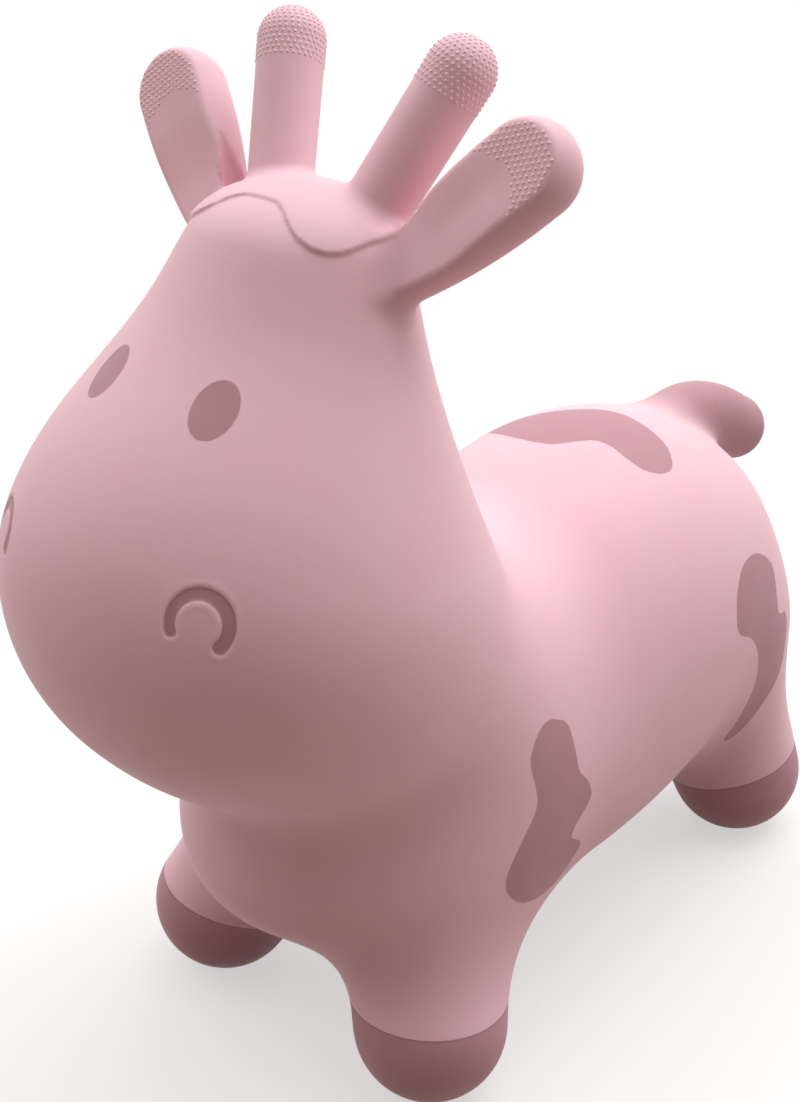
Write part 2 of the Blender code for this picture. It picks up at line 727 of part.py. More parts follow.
def make_tail(torso):
    """A hollow stub in a round seat in the rump, and its painted end."""
    pivot = settled([vec(0, TAIL_Y, TAIL_Z)], -TAIL_SINK)[0]
    outer_root, outer_tube, outer_end, outer_pole = tail_rings(pivot, 0)
    inner_root, inner_tube, inner_end, inner_pole = tail_rings(pivot, -WALL)
    seam = round(len(outer_tube) * TAIL_SEAM_SHARE)
    sleeve = outer_root + outer_tube[:seam] + inner_tube[:seam][::-1] + inner_root[::-1]
    tail = add_piece("tail", mesh_of(loft(sleeve), "tail"), PINK)
    cut(torso, "DIFFERENCE", ball_cutter("tail_seat", pivot, TAIL_BALL + BEND_GAP, ROUND_STEPS * 2))
    hang(tail, pivot, torso)
    way = unit(outer_tube[seam].mean(axis=0) - outer_tube[seam - 1].mean(axis=0)) * FIXED_GAP
    first_outer, first_inner = outer_tube[seam - 1] + way, inner_tube[seam - 1] + way
    outer = [first_outer, *outer_tube[seam:], *outer_end]
    inner = [first_inner, *inner_tube[seam:], *inner_end]
    tip = add_piece("tail_tip", mesh_of(loft(outer[::-1] + inner, outer_pole, inner_pole), "tip"), MAUVE)
    hang(tip, first_outer.mean(axis=0), tail)


# Painted marks and raised hair: thin pads that follow the skin

def pad(name, seed, up, line, widths, material, carrier, lift=PAINT_LIFT, columns=5):
    """A thin pad on the skin, along a line drawn on the plane that touches the skin at the seed.

    widths are its half widths, one for each point of the line."""
    centre = settled([seed])[0]
    normal = unit(slope(centre[None])[0])
    across = unit(np.cross(up, normal))
    along = np.cross(normal, across)
    line = np.array(line, float)
    ways = np.gradient(line, axis=0)
    ways /= np.linalg.norm(ways, axis=1, keepdims=True)
    sideways = np.stack((-ways[:, 1], ways[:, 0]), axis=1)
    flat = []
    for share in np.linspace(-1, 1, columns):
        flat.append(line + sideways * (share * widths)[:, None])
    flat = np.stack(flat, axis=1)
    places = centre + flat[..., :1] * across + flat[..., 1:] * along
    under, over = (
        settled(places.reshape(-1, 3), level).reshape(places.shape)
        for level in (lift, lift + PAINT_THICK)
    )
    rings = [np.vstack((a, b[::-1])) for a, b in zip(under, over)][1:-1]
    poles = [(a[columns // 2] + b[columns // 2]) / 2 for a, b in zip(under, over)]
    bm = loft(rings, poles[0], poles[-1])
    piece = add_piece(name, mesh_of(bm, name), material)
    return hang(piece, centre, carrier)


def rounded(line, widths):
    """Widths that close in a half circle at both ends of a line."""
    steps = np.linalg.norm(np.diff(line, axis=0), axis=1)
    run = np.concatenate(((0,), np.cumsum(steps)))
    inset = np.minimum(run, run[-1] - run) / widths
    return widths * np.sqrt(1 - np.square(1 - np.minimum(inset, 1)))


def stroke(points, widths, count=PATCH_STEPS):
    """A brush stroke: a curve through the points, its half widths blended in the same way."""
    rows = [(*point, width) for point, width in zip(points, widths)]
    line, _ = smooth_line(rows, count)
    return line[:, :2], rounded(line[:, :2], line[:, 2])


def oval(half_height, half_width, lean, side, count=PAD_STEPS):
    """An oval's long axis, leaning over, and its half widths."""
    places = np.sin(np.linspace(-math.pi / 2, math.pi / 2, count))
    line = np.stack((-side * math.sin(lean) * places, math.cos(lean) * places), axis=1) * half_height
    return line, half_width * np.sqrt(1 - places * places)


def arch(radius, tail, lean, side, count=PAD_STEPS):
    """A half circle with a short straight leg at each end, turned by lean."""
    angles = np.linspace(math.pi, 0, count)
    bow = np.stack((np.cos(angles), np.sin(angles)), axis=1) * radius
    foot = np.array((0, -tail))
    line = np.vstack((bow[:1] + foot, bow[:1] + foot / 2, bow, bow[-1:] + foot / 2, bow[-1:] + foot))
    turn = np.array(((math.cos(lean), math.sin(lean)), (-math.sin(lean), math.cos(lean))))
    return line @ turn * np.array((side, 1))


def patch(name, seed, up, length, half_width, line_shares, width_shares, carrier, flip=(1, 1)):
    """A painted patch of the coat: a brush stroke whose points and widths are shares of its size."""
    points = np.array(line_shares) * length * np.array(flip)
    line, widths = stroke(points, np.array(width_shares) * half_width)
    pad(name, seed, up, line, widths, MAUVE, carrier, PATCH_LIFT, 7)


def make_face(head):
    """The painted eyes and nostrils."""
    up = vec(0, 0, 1)
    for side_name, side in (("left", 1), ("right", -1)):
        line, widths = oval(EYE_HALF_HEIGHT, EYE_HALF_WIDTH, EYE_LEAN, side)
        seed = mirrored(vec(EYE_X, EYE_Y, EYE_Z), side)
        pad(f"{side_name}_eye", seed, up, line, widths, MAUVE, head)
        line = arch(NOSTRIL_RADIUS, NOSTRIL_TAIL, NOSTRIL_LEAN, side)
        widths = rounded(line, np.full(len(line), NOSTRIL_HALF_STROKE))
        seed = mirrored(vec(NOSTRIL_X, NOSTRIL_Y, NOSTRIL_Z), side)
        pad(f"{side_name}_nostril", seed, up, line, widths, MAUVE, head)


def make_forelock(head):
    """The raised hair between the horns: a thin cap whose front edge hangs in two lobes."""
    degrees = np.array(FORELOCK_EDGE_DEGREES, float)
    round_way = np.linspace(0, 2 * math.pi, HIP_STEPS, endpoint=False)
    from_front = np.degrees(np.minimum(round_way, 2 * math.pi - round_way))
    edge = np.radians(np.interp(from_front, degrees[:, 0], degrees[:, 1]))
    faces = []
    for level in (RELIEF_LIFT + RELIEF_THICK, RELIEF_LIFT):
        rings = []
        for share in (0.2, 0.4, 0.6, 0.8, 1.0):
            down = edge * share
            ways = np.stack((np.sin(down) * np.sin(round_way), -np.sin(down) * np.cos(round_way),
                             np.cos(down)), axis=1)
            rings.append(settled(CROWN + ways * CROWN_RADIUS, level))
        faces.append((rings, settled([CROWN + vec(0, 0, CROWN_RADIUS)], level)[0]))
    (over, over_pole), (under, under_pole) = faces
    bm = loft(over + under[::-1], over_pole, under_pole)
    hang(add_piece("forelock", mesh_of(bm, "forelock"), PINK), over_pole, head)


def make_patches(torso):
    """The darker patches of the coat: over the back, and on each shoulder and flank."""
    sideways, upwards = vec(0, 1, 0), vec(0, 0, 1)
    back = (BACK_PATCH_LENGTH, BACK_PATCH_HALF_WIDTH, BACK_PATCH_LINE_SHARES, BACK_PATCH_WIDTH_SHARES)
    patch("back_patch", vec(0, BACK_PATCH_Y, RUMP_Z + RUMP_HALF_HEIGHT), sideways, *back, torso)
    shoulder = (SHOULDER_PATCH_LENGTH, SHOULDER_PATCH_HALF_WIDTH, SHOULDER_PATCH_LINE_SHARES,
                SHOULDER_PATCH_WIDTH_SHARES)
    flank = (FLANK_PATCH_LENGTH, FLANK_PATCH_HALF_WIDTH, FLANK_PATCH_LINE_SHARES,
             FLANK_PATCH_WIDTH_SHARES)
    for name, shape, y, z, side, flip in (
        ("left_shoulder_patch", shoulder, SHOULDER_PATCH_Y, SHOULDER_PATCH_Z, 1, (1, 1)),
        ("left_flank_patch", flank, FLANK_PATCH_Y, FLANK_PATCH_Z, 1, (1, 1)),
        ("right_shoulder_patch", shoulder, RIGHT_SHOULDER_PATCH_Y, RIGHT_SHOULDER_PATCH_Z, -1, (1, -1)),
        ("right_flank_patch", flank, RIGHT_FLANK_PATCH_Y, RIGHT_FLANK_PATCH_Z, -1, (-1, -1)),
    ):
        patch(name, vec(side * CHEST_HALF_WIDTH, y, z), upwards, *shape, torso, flip)


# The valve

def belly_height():
    """The height of the skin's outer face under the belly where the valve sits, by halving."""
    low, high = 0.0, CHEST_Z
    for _ in range(30):
        middle = (low + high) / 2
        if body(vec(0, VALVE_Y, middle)[None])[0] > 0:
            low = middle
        else:
            high = middle
    return low


def make_valve(torso):
    """A flanged rubber seat set in the belly, and the plug that is pushed up into it."""
    belly = vec(0, VALVE_Y, belly_height())
    hole = turned(((0, -OVERRUN), (SEAT_RADIUS + FIXED_GAP, -OVERRUN),
                   (SEAT_RADIUS + FIXED_GAP, OVERRUN), (0, OVERRUN)))
    hole = add_piece("valve_hole", mesh_of(hole, "valve_hole"), VALVE_WHITE, cutter=True)
    hole.location = belly
    cut(torso, "DIFFERENCE", hole)
    rim = -FIXED_GAP
    foot = rim - SEAT_FLANGE_THICK
    seat = turned(((SEAT_BORE, foot), (SEAT_FLANGE_RADIUS, foot), (SEAT_FLANGE_RADIUS, rim),
                   (SEAT_RADIUS, rim), (SEAT_RADIUS, foot + SEAT_DEPTH), (SEAT_BORE, foot + SEAT_DEPTH)))
    seat.transform(Matrix.Translation(belly))
    seat = add_piece("valve_seat", mesh_of(seat, "valve_seat"), VALVE_WHITE)
    hang(seat, belly, torso)
    stem = SEAT_BORE - FIXED_GAP
    top = foot - FIXED_GAP
    plug = turned(((0, top - PLUG_HEAD_THICK), (PLUG_HEAD_RADIUS, top - PLUG_HEAD_THICK),
                   (PLUG_HEAD_RADIUS, top), (stem, top), (stem * PLUG_TIP_SHARE, top + PLUG_LENGTH),
                   (0, top + PLUG_LENGTH)))
    plug.transform(Matrix.Translation(belly))
    plug = add_piece("valve_plug", mesh_of(plug, "valve_plug"), VALVE_WHITE)
    hang(plug, belly, seat)


def main():
    torso, head = make_skins()
    for side_name, side in (("left", 1), ("right", -1)):
        make_horn(side, side_name, head)
        make_ear(side, side_name, head)
    make_tail(torso)
    make_face(head)
    make_forelock(head)
    make_patches(torso)
    make_valve(torso)


main()
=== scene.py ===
"""A bouncy ride-on cow in pink soft vinyl, blown up hard, with mauve painted marks, hooves and tail.

Metres. The animal faces -Y, its left side is +X, and the floor is z = 0."""

import math

import bmesh
import bpy
import numpy as np
from mathutils import Matrix, Vector


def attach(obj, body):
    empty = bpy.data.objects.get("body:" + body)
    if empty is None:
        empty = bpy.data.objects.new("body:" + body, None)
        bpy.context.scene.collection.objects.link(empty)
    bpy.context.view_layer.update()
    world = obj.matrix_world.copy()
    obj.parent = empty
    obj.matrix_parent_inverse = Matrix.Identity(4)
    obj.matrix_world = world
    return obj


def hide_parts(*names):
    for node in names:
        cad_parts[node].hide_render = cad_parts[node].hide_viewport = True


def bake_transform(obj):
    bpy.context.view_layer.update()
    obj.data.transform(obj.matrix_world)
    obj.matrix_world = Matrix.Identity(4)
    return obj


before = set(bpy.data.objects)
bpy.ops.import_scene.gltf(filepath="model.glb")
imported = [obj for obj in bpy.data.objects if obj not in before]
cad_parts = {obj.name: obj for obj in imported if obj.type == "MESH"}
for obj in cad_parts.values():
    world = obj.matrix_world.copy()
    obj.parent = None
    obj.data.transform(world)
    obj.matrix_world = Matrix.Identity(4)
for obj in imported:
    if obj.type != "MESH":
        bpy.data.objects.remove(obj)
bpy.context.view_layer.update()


# The trunk and the four legs
# One hollow skin of soft PVC, spun in a heated mould: a low chest and a higher rump with a saddle
# between them, melted into four short splayed legs with round hooves.

CHEST = np.array((0, -0.0675, 0.127))
CHEST_RADII = np.array((0.101, 0.1375, 0.068))
RUMP = np.array((0, 0.101, 0.171))
RUMP_RADII = np.array((0.110, 0.131, 0.107))
SADDLE_BLEND = 0.120
FRONT_HIP = np.array((0.031, -0.0765, 0.134))
FRONT_HOOF = np.array((0.076, -0.1365, 0.0377))
REAR_HIP = np.array((0.057, 0.152, 0.134))
REAR_HOOF = np.array((0.082, 0.167, 0.0377))
HIP_RADIUS = 0.0408
HOOF_RADIUS = 0.0405
LEG_BLEND = 0.050
NEVER_ZERO = 1e-9


def ellipsoid(points, centre, radii):
    """Nearly the distance to an ellipsoid: k (k - 1) / |offset / radii^2|, k = |offset / radii|."""
    offset = points - centre
    scaled = np.linalg.norm(offset / radii, axis=1)
    slope = np.linalg.norm(offset / np.square(radii), axis=1)
    return scaled * (scaled - 1) / np.maximum(slope, NEVER_ZERO)


def cone(points, start, end, start_radius, end_radius):
    """The distance to the hull of two balls: to its slanted side, or to the ball at either end."""
    along = end - start
    length2 = along @ along
    shrink = start_radius - end_radius
    flank2 = length2 - shrink * shrink
    offset = points - start
    y = offset @ along
    z = y - length2
    across = offset * length2 - y[:, None] * along
    x2 = (across * across).sum(axis=1)
    y2 = y * y * length2
    z2 = z * z * length2
    limit = np.sign(shrink) * shrink * shrink * x2
    side = (np.sqrt(x2 * flank2 / length2) + y * shrink) / length2 - start_radius
    near_start = np.sqrt(x2 + y2) / length2 - start_radius
    near_end = np.sqrt(x2 + z2) / length2 - end_radius
    side = np.where(np.sign(y) * flank2 * y2 < limit, near_start, side)
    return np.where(np.sign(z) * flank2 * z2 > limit, near_end, side)


def melt(a, b, width):
    """The smaller of two distances, less width / 4 where they are equal, fading out at width."""
    near = np.maximum(width - np.abs(a - b), 0) / width
    return np.minimum(a, b) - near * near * width / 4


def step(x):
    """The smooth step 3 x^2 - 2 x^3, for x held between 0 and 1."""
    x = np.clip(x, 0, 1)
    return x * x * (3 - 2 * x)


def trunk(half):
    """The distance to the trunk and legs, for points with x made positive."""
    shape = melt(ellipsoid(half, CHEST, CHEST_RADII), ellipsoid(half, RUMP, RUMP_RADII), SADDLE_BLEND)
    shape = melt(shape, cone(half, FRONT_HIP, FRONT_HOOF, HIP_RADIUS, HOOF_RADIUS), LEG_BLEND)
    return melt(shape, cone(half, REAR_HIP, REAR_HOOF, HIP_RADIUS, HOOF_RADIUS), LEG_BLEND)


# The neck and the head
# The same skin: a narrow crown that runs down into a broad round muzzle, on a thick short neck.

CROWN = np.array((0, -0.1445, 0.432))
CROWN_RADIUS = 0.048
CROWN_FLATNESS = 0.150
MUZZLE = np.array((0, -0.177, 0.292))
MUZZLE_RADIUS = 0.093
THROAT = np.array((0, -0.1995, 0.310))
THROAT_RADIUS = 0.079
NECK = np.array((0, -0.1005, 0.214))
NECK_RADIUS = 0.083
HEAD_WIDTH = np.array((1.10, 1, 1))
HEAD_BLEND = 0.060


def head(half):
    """The distance to the head and neck: two cones melted together, a tenth wider than deep, and
    pressed flatter over the crown, where heights grow by their square."""
    narrow = half / HEAD_WIDTH
    narrow[:, 2] += np.square(np.maximum(narrow[:, 2] - CROWN[2], 0)) / CROWN_FLATNESS
    face = cone(narrow, CROWN, MUZZLE, CROWN_RADIUS, MUZZLE_RADIUS)
    return melt(face, cone(narrow, THROAT, NECK, THROAT_RADIUS, NECK_RADIUS), HEAD_BLEND)


# The horns
# Two hollow rods that a child holds on to, drawn from the same skin, with a small fillet at the root.

HORN_ROOT = np.array((0.0282, -0.1229, 0.4608))
HORN_WAY = np.array((0.305, 0.465, 0.8311))
HORN_LENGTH = 0.0645
HORN_ROOT_RADIUS = 0.0146
HORN_TIP_RADIUS = 0.0153
HORN_BLEND = 0.007


def horn(half):
    """The distance to a horn: a cone that swells a little towards its round tip."""
    start = HORN_ROOT - HORN_WAY * HORN_ROOT_RADIUS
    return cone(half, start, HORN_ROOT + HORN_WAY * HORN_LENGTH, HORN_ROOT_RADIUS, HORN_TIP_RADIUS)


# The ears
# Two hollow clubs of the same skin, round behind and moulded nearly flat in front, where the face is a
# little dished and its inner edge folds over at the root.


def unit(way):
    """The way at a length of one."""
    return way / np.linalg.norm(way)


EAR_ROOT = np.array((0.0525, -0.1375, 0.4379))
EAR_WAY = unit(np.array((0.66, 0.34, 0.6699)))
EAR_FRONT = np.array((0.01, -0.89, 0.45))
EAR_FRONT = unit(EAR_FRONT - EAR_WAY * (EAR_FRONT @ EAR_WAY))
EAR_ACROSS = np.cross(EAR_WAY, EAR_FRONT)
EAR_LENGTH = 0.0722
EAR_SHOULDER = 0.064
EAR_ROOT_RADIUS = 0.0132
EAR_RADIUS = 0.0209
EAR_OFFSET = -0.0011
EAR_SLACK = 0.98
EAR_FACE_LEVEL = 0.0120
EAR_FACE_ROOT_LEVEL = 0.0088
EAR_FACE_RISE_START = 0.020
EAR_FACE_RISE_LENGTH = 0.035
EAR_RIDGE = 0.0022
EAR_HOLLOW = 0.0012
EAR_HOLLOW_MIDDLE = 0.047
EAR_HOLLOW_HALF_LENGTH = 0.024
EAR_HOLLOW_HALF_WIDTH = 0.010
EAR_BLEND = 0.010
FOLD_START = np.array((0.014, -0.0160, 0.0020))
FOLD_END = np.array((0.036, -0.0190, 0.0072))
FOLD_RADIUS = 0.0062
FOLD_END_RADIUS = 0.00062
FOLD_LIP = 0.0025


def ear(half):
    """Nearly the distance to an ear, in its own directions: a club whose radius grows along it as
    1 - (1 - t)^2, cut off in front at a level that rises along it, less a bell curve for the dish. A thin
    cone is taken out of the inner edge for the fold. The slack keeps a slanted side from reading too far."""
    offset = half - EAR_ROOT
    local = np.stack((offset @ EAR_WAY, offset @ EAR_ACROSS - EAR_OFFSET, offset @ EAR_FRONT), axis=1)
    along, across, out = local.T
    left_over = np.square(1 - np.clip(along / EAR_SHOULDER, 0, 1))
    radius = EAR_RADIUS + (EAR_ROOT_RADIUS - EAR_RADIUS) * left_over
    past = np.maximum(along - EAR_LENGTH, 0) - np.minimum(along, 0)
    club = EAR_SLACK * (np.sqrt(across**2 + out**2 + past**2) - radius)
    rise = step((along - EAR_FACE_RISE_START) / EAR_FACE_RISE_LENGTH)
    level = EAR_FACE_ROOT_LEVEL + (EAR_FACE_LEVEL - EAR_FACE_ROOT_LEVEL) * rise
    from_middle = (along - EAR_HOLLOW_MIDDLE) / EAR_HOLLOW_HALF_LENGTH
    dish = EAR_HOLLOW * np.exp(-np.square(across / EAR_HOLLOW_HALF_WIDTH) - np.square(from_middle))
    cut = melt(-club, level - dish - out, EAR_RIDGE)
    fold = cone(local, FOLD_START, FOLD_END, FOLD_RADIUS, FOLD_END_RADIUS)
    return -melt(cut, fold, FOLD_LIP)


# The tail
# A hollow stub, also part of the skin: it rises off the rump in a wide fillet, then bends down.

TAIL_POINTS = np.array(((0.1680, 0.2400), (0.1890, 0.2474), (0.2112, 0.2464), (0.2390, 0.2364),
                        (0.2676, 0.2202)))
TAIL_BALLS = 60
TAIL_RADIUS = 0.0215
TAIL_BLEND = 0.016
TAIL_REACHES_TO = 0.12
FAR_AWAY = 1.0


def smooth_line(points, count):
    """Catmull-Rom: cubic stretches through the points, whose slope at each is half the step over it."""
    padded = np.vstack((2 * points[0] - points[1], points, 2 * points[-1] - points[-2]))
    places = np.linspace(0, len(points) - 1, count)
    first = np.minimum(places.astype(int), len(points) - 2)
    t = (places - first)[:, None]
    a, b, c, d = (padded[first + i] for i in range(4))
    square_part = a - 2.5 * b + 2 * c - d / 2
    cube_part = 1.5 * (b - c) + (d - a) / 2
    return b + t * (c - a) / 2 + t**2 * square_part + t**3 * cube_part


TAIL_LINE = np.insert(smooth_line(TAIL_POINTS, TAIL_BALLS), 0, 0, axis=1)


def tail(half):
    """The distance to the tail: to the nearest of many balls along its bent middle line."""
    shape = np.full(len(half), FAR_AWAY)
    near = half[:, 1] > TAIL_REACHES_TO
    offset = half[near][:, None, :] - TAIL_LINE
    shape[near] = np.sqrt((offset * offset).sum(axis=2).min(axis=1)) - TAIL_RADIUS
    return shape


# The forelock and the nostrils
# Relief cut in the mould: hair laid over the crown between the horns, whose front edge hangs in two
# lobes, and a groove like an open ring for each nostril, painted afterwards. The edge is given in
# degrees, round the crown from the front and down from its top.

FORELOCK_EDGE = np.array(((0, 27), (8, 27), (18, 28.3), (25, 29.7), (31, 33), (35, 37), (38.5, 43),
                          (42, 50), (46.5, 56.5), (53, 62), (60, 65), (68, 66), (77, 65), (86, 64),
                          (100, 65), (120, 66), (150, 64), (180, 60)), float)
FORELOCK_RISE = 0.0017
FORELOCK_SLOPE = 0.0032
NOSTRIL = np.array((0.0610, -0.2663, 0.3330))
NOSTRIL_RADIUS = 0.0119
NOSTRIL_HALF_SPAN = math.radians(121)
NOSTRIL_LEAN = math.radians(-15)
NOSTRIL_HALF_STROKE = 0.0026
NOSTRIL_SWELL = 0.0003
NOSTRIL_GROOVE = 0.0007
NOSTRIL_SLOPE = 0.0022
NOSTRIL_RIM = 0.00012
NOSTRIL_RIM_PLACE = 0.0018
NOSTRIL_RIM_HALF_WIDTH = 0.0012
NOSTRIL_REACH = 0.03
CROWN_LEVEL = 0.40


def forelock_inset(half):
    """How far a direction from the crown's middle lies inside the hair's edge, along the crown."""
    offset = half - CROWN
    around = np.degrees(np.arctan2(offset[:, 0], -offset[:, 1]))
    down = np.degrees(np.arctan2(np.hypot(offset[:, 0], offset[:, 1]), offset[:, 2]))
    edge = np.interp(around, FORELOCK_EDGE[:, 0], FORELOCK_EDGE[:, 1])
    return np.radians(edge - down) * CROWN_RADIUS


def tangent_frame(normal):
    """Two unit vectors in the plane that touches the skin: to the animal's own left, and up."""
    across = unit(np.cross((0, 0, 1.0), normal))
    return across, np.cross(normal, across)


def arc_distance(x, y, radius, half_span):
    """The distance in a plane to an arc whose middle is at the top: to its circle, or past its ends to
    the nearer one of them."""
    end_x, end_y = radius * math.sin(half_span), radius * math.cos(half_span)
    to_end = np.hypot(np.abs(x) - end_x, y - end_y)
    return np.where(np.arctan2(np.abs(x), y) < half_span, np.abs(np.hypot(x, y) - radius), to_end)


NOSTRIL_ACROSS, NOSTRIL_UP = tangent_frame(unit(np.array((0.545, -0.835, 0.065))))


def turned(x, y, angle):
    """Places in a plane, seen from axes that are turned by the angle."""
    return x * math.cos(angle) + y * math.sin(angle), y * math.cos(angle) - x * math.sin(angle)


def nostril_distance(half):
    """The distance to the nostril's stroke, below zero inside: an arc turned by its lean, whose half
    width grows a little towards its outer end."""
    offset = half - NOSTRIL
    x, y = turned(offset @ NOSTRIL_ACROSS, offset @ NOSTRIL_UP, NOSTRIL_LEAN)
    stroke = NOSTRIL_HALF_STROKE + NOSTRIL_SWELL * np.clip(x / NOSTRIL_RADIUS, -1, 1)
    return arc_distance(x, y, NOSTRIL_RADIUS, NOSTRIL_HALF_SPAN) - stroke


def to_left(points):
    """The points, with those on the right side moved to their mirror places on the left."""
    half = np.array(points)
    half[:, 0] = np.abs(half[:, 0])
    return half


def skin(points):
    """The distance to the finished skin: all its parts melted together, with the relief on top."""
    half = to_left(points)
    shape = melt(trunk(half), head(half), HEAD_BLEND)
    high = half[:, 2] > CROWN_LEVEL
    top = half[high]
    crown = shape[high] - FORELOCK_RISE * step(forelock_inset(top) / FORELOCK_SLOPE + 0.5)
    crown = melt(crown, horn(top), HORN_BLEND)
    shape[high] = melt(crown, ear(top), EAR_BLEND)
    face = np.linalg.norm(half - NOSTRIL, axis=1) < NOSTRIL_REACH
    beside = nostril_distance(half[face])
    shape[face] += NOSTRIL_GROOVE * step(0.5 - beside / NOSTRIL_SLOPE)
    shape[face] -= NOSTRIL_RIM * np.exp(-np.square((beside - NOSTRIL_RIM_PLACE) / NOSTRIL_RIM_HALF_WIDTH))
    return melt(shape, tail(half), TAIL_BLEND)


# The moulded skin as a mesh
# The real skin has no seam. Here it is meshed whole, from balls strung along its limbs, and only then
# parted at each joint. Each part shares its edge and its shading with the next.

ROUGH_FACET = 0.006
FACET = 0.0023
FINE_ABOVE = 0.440
FINE_ROUND_NOSTRIL = 0.021
POLE_GAP = 0.01


def ball_grids(centres, radii, steps=24):
    """Balls as grids of longitude u and latitude v: centre + radii (sin v cos u, sin v sin u, cos v)."""
    longitudes = np.linspace(0, 2 * math.pi, steps, endpoint=False)
    u, v = np.meshgrid(longitudes, np.linspace(POLE_GAP, math.pi - POLE_GAP, steps))
    ball = np.stack((np.sin(v) * np.cos(u), np.sin(v) * np.sin(u), np.cos(v)), axis=-1).reshape(-1, 3)
    points = centres[:, None, :] + radii[:, None, :] * ball
    row, column = np.meshgrid(np.arange(steps - 1), np.arange(steps), indexing="ij")
    following = (column + 1) % steps
    quads = np.stack((row * steps + column, (row + 1) * steps + column,
                      (row + 1) * steps + following, row * steps + following), axis=-1).reshape(-1, 4)
    caps = [np.arange(steps), np.arange(steps)[::-1] + (steps - 1) * steps]
    faces = [face for first in range(0, len(centres) * steps * steps, steps * steps)
             for face in [*(quads + first).tolist(), *((cap + first).tolist() for cap in caps)]]
    return points.reshape(-1, 3), faces


def strung(start, end, start_radius, end_radius, count=9):
    """Balls along a limb: middles and radii run evenly from one end to the other."""
    share = np.linspace(0, 1, count)[:, None]
    return start + share * (end - start), (start_radius + share * (end_radius - start_radius)) * np.ones(3)


SIDES = {"left": np.array((1, 1, 1)), "right": np.array((-1, 1, 1))}
limbs = [(CHEST[None], CHEST_RADII[None]), (RUMP[None], RUMP_RADII[None]),
         strung(CROWN, MUZZLE, CROWN_RADIUS, MUZZLE_RADIUS), strung(THROAT, NECK, THROAT_RADIUS, NECK_RADIUS),
         (TAIL_LINE[::4], np.full((TAIL_BALLS // 4, 3), TAIL_RADIUS))]
for balls, radii in (
    strung(FRONT_HIP, FRONT_HOOF, HIP_RADIUS, HOOF_RADIUS),
    strung(REAR_HIP, REAR_HOOF, HIP_RADIUS, HOOF_RADIUS),
    strung(HORN_ROOT, HORN_ROOT + HORN_WAY * HORN_LENGTH, HORN_ROOT_RADIUS, HORN_TIP_RADIUS, 16),
    strung(EAR_ROOT, EAR_ROOT + EAR_WAY * EAR_LENGTH, EAR_ROOT_RADIUS, EAR_RADIUS, 16),
):
    limbs += [(balls * side, radii) for side in SIDES.values()]


def mesh_from(name, points, faces):
    """A mesh of points and of faces that name them by number."""
    mesh = bpy.data.meshes.new(name)
    mesh.from_pydata(points, [], faces)
    return mesh


def shown(name, data):
    """An object in the scene, at the origin, that shows the data."""
    thing = bpy.data.objects.new(name, data)
    bpy.context.scene.collection.objects.link(thing)
    return thing


def remeshed(mesh, facet):
    """Even square facets over the union of the mesh's closed shapes."""
    former = shown("former", mesh)
    modifier = former.modifiers.new("even_facets", "REMESH")
    modifier.mode = "VOXEL"
    modifier.voxel_size = facet
    graph = bpy.context.evaluated_depsgraph_get()
    even = bpy.data.meshes.new_from_object(former.evaluated_get(graph))
    bpy.data.objects.remove(former)
    return even


def points_of(mesh):
    """The mesh's points, one to a row."""
    points = np.empty(len(mesh.vertices) * 3)
    mesh.vertices.foreach_get("co", points)
    return points.reshape(-1, 3)


TETRAHEDRON = np.array(((1, -1, -1), (-1, -1, 1), (-1, 1, -1), (1, 1, 1)), float)


def level_and_slope(field, points, reach=0.0003):
    """The field's mean at four corners of a tiny tetrahedron, and its gradient from the same four."""
    values = np.stack([field(points + corner * reach) for corner in TETRAHEDRON], axis=1)
    return values.mean(axis=1), values @ TETRAHEDRON / (4 * reach)


def settled(field, points, steps, longest):
    """Newton's way onto the surface: less level x slope / |slope|^2 each time, no step over longest."""
    for _ in range(steps):
        level, slope = level_and_slope(field, points)
        move = slope * (level / (slope * slope).sum(axis=1))[:, None]
        length = np.linalg.norm(move, axis=1, keepdims=True)
        points = points - move * np.minimum(1, longest / np.maximum(length, NEVER_ZERO))
    return points


def set_points(mesh, points):
    """Move the mesh's points."""
    mesh.vertices.foreach_set("co", points.ravel())
    mesh.update()


def has_fine_relief(face):
    """Whether a face lies on the horns, the ears, the hair or a nostril, and so needs smaller facets."""
    middle = face.calc_center_median()
    middle.x = abs(middle.x)
    return middle.z > FINE_ABOVE or (middle - Vector(NOSTRIL)).length < FINE_ROUND_NOSTRIL


middles, sizes = (np.vstack(column) for column in zip(*limbs))
rough = remeshed(mesh_from("rough_skin", *ball_grids(middles, sizes)), ROUGH_FACET)
set_points(rough, settled(skin, points_of(rough), steps=12, longest=ROUGH_FACET))
whole = remeshed(rough, FACET)
finer = bmesh.new()
finer.from_mesh(whole)
edges = list({edge for face in finer.faces if has_fine_relief(face) for edge in face.edges})
bmesh.ops.subdivide_edges(finer, edges=edges, cuts=1, use_grid_fill=True)
finer.to_mesh(whole)
finer.free()
skin_points = settled(skin, points_of(whole), steps=5, longest=FACET)
skin_points[:, 2] = np.maximum(skin_points[:, 2], 0)
set_points(whole, skin_points)
_, skin_slopes = level_and_slope(skin, skin_points)
skin_normals = skin_slopes / np.linalg.norm(skin_slopes, axis=1, keepdims=True)
sole = skin_points[:, 2] <= 0
skin_normals[sole] = (0, 0, -1)


# The paint
# Mauve vinyl paint sprayed through masks: the eyes, the nostrils, the patches of the coat and the hooves
# below a moulded line. The tail is sprayed without a mask, so that its paint fades in from the root.
# Patches are outlined in x and y on the back, and in y and z on the sides.

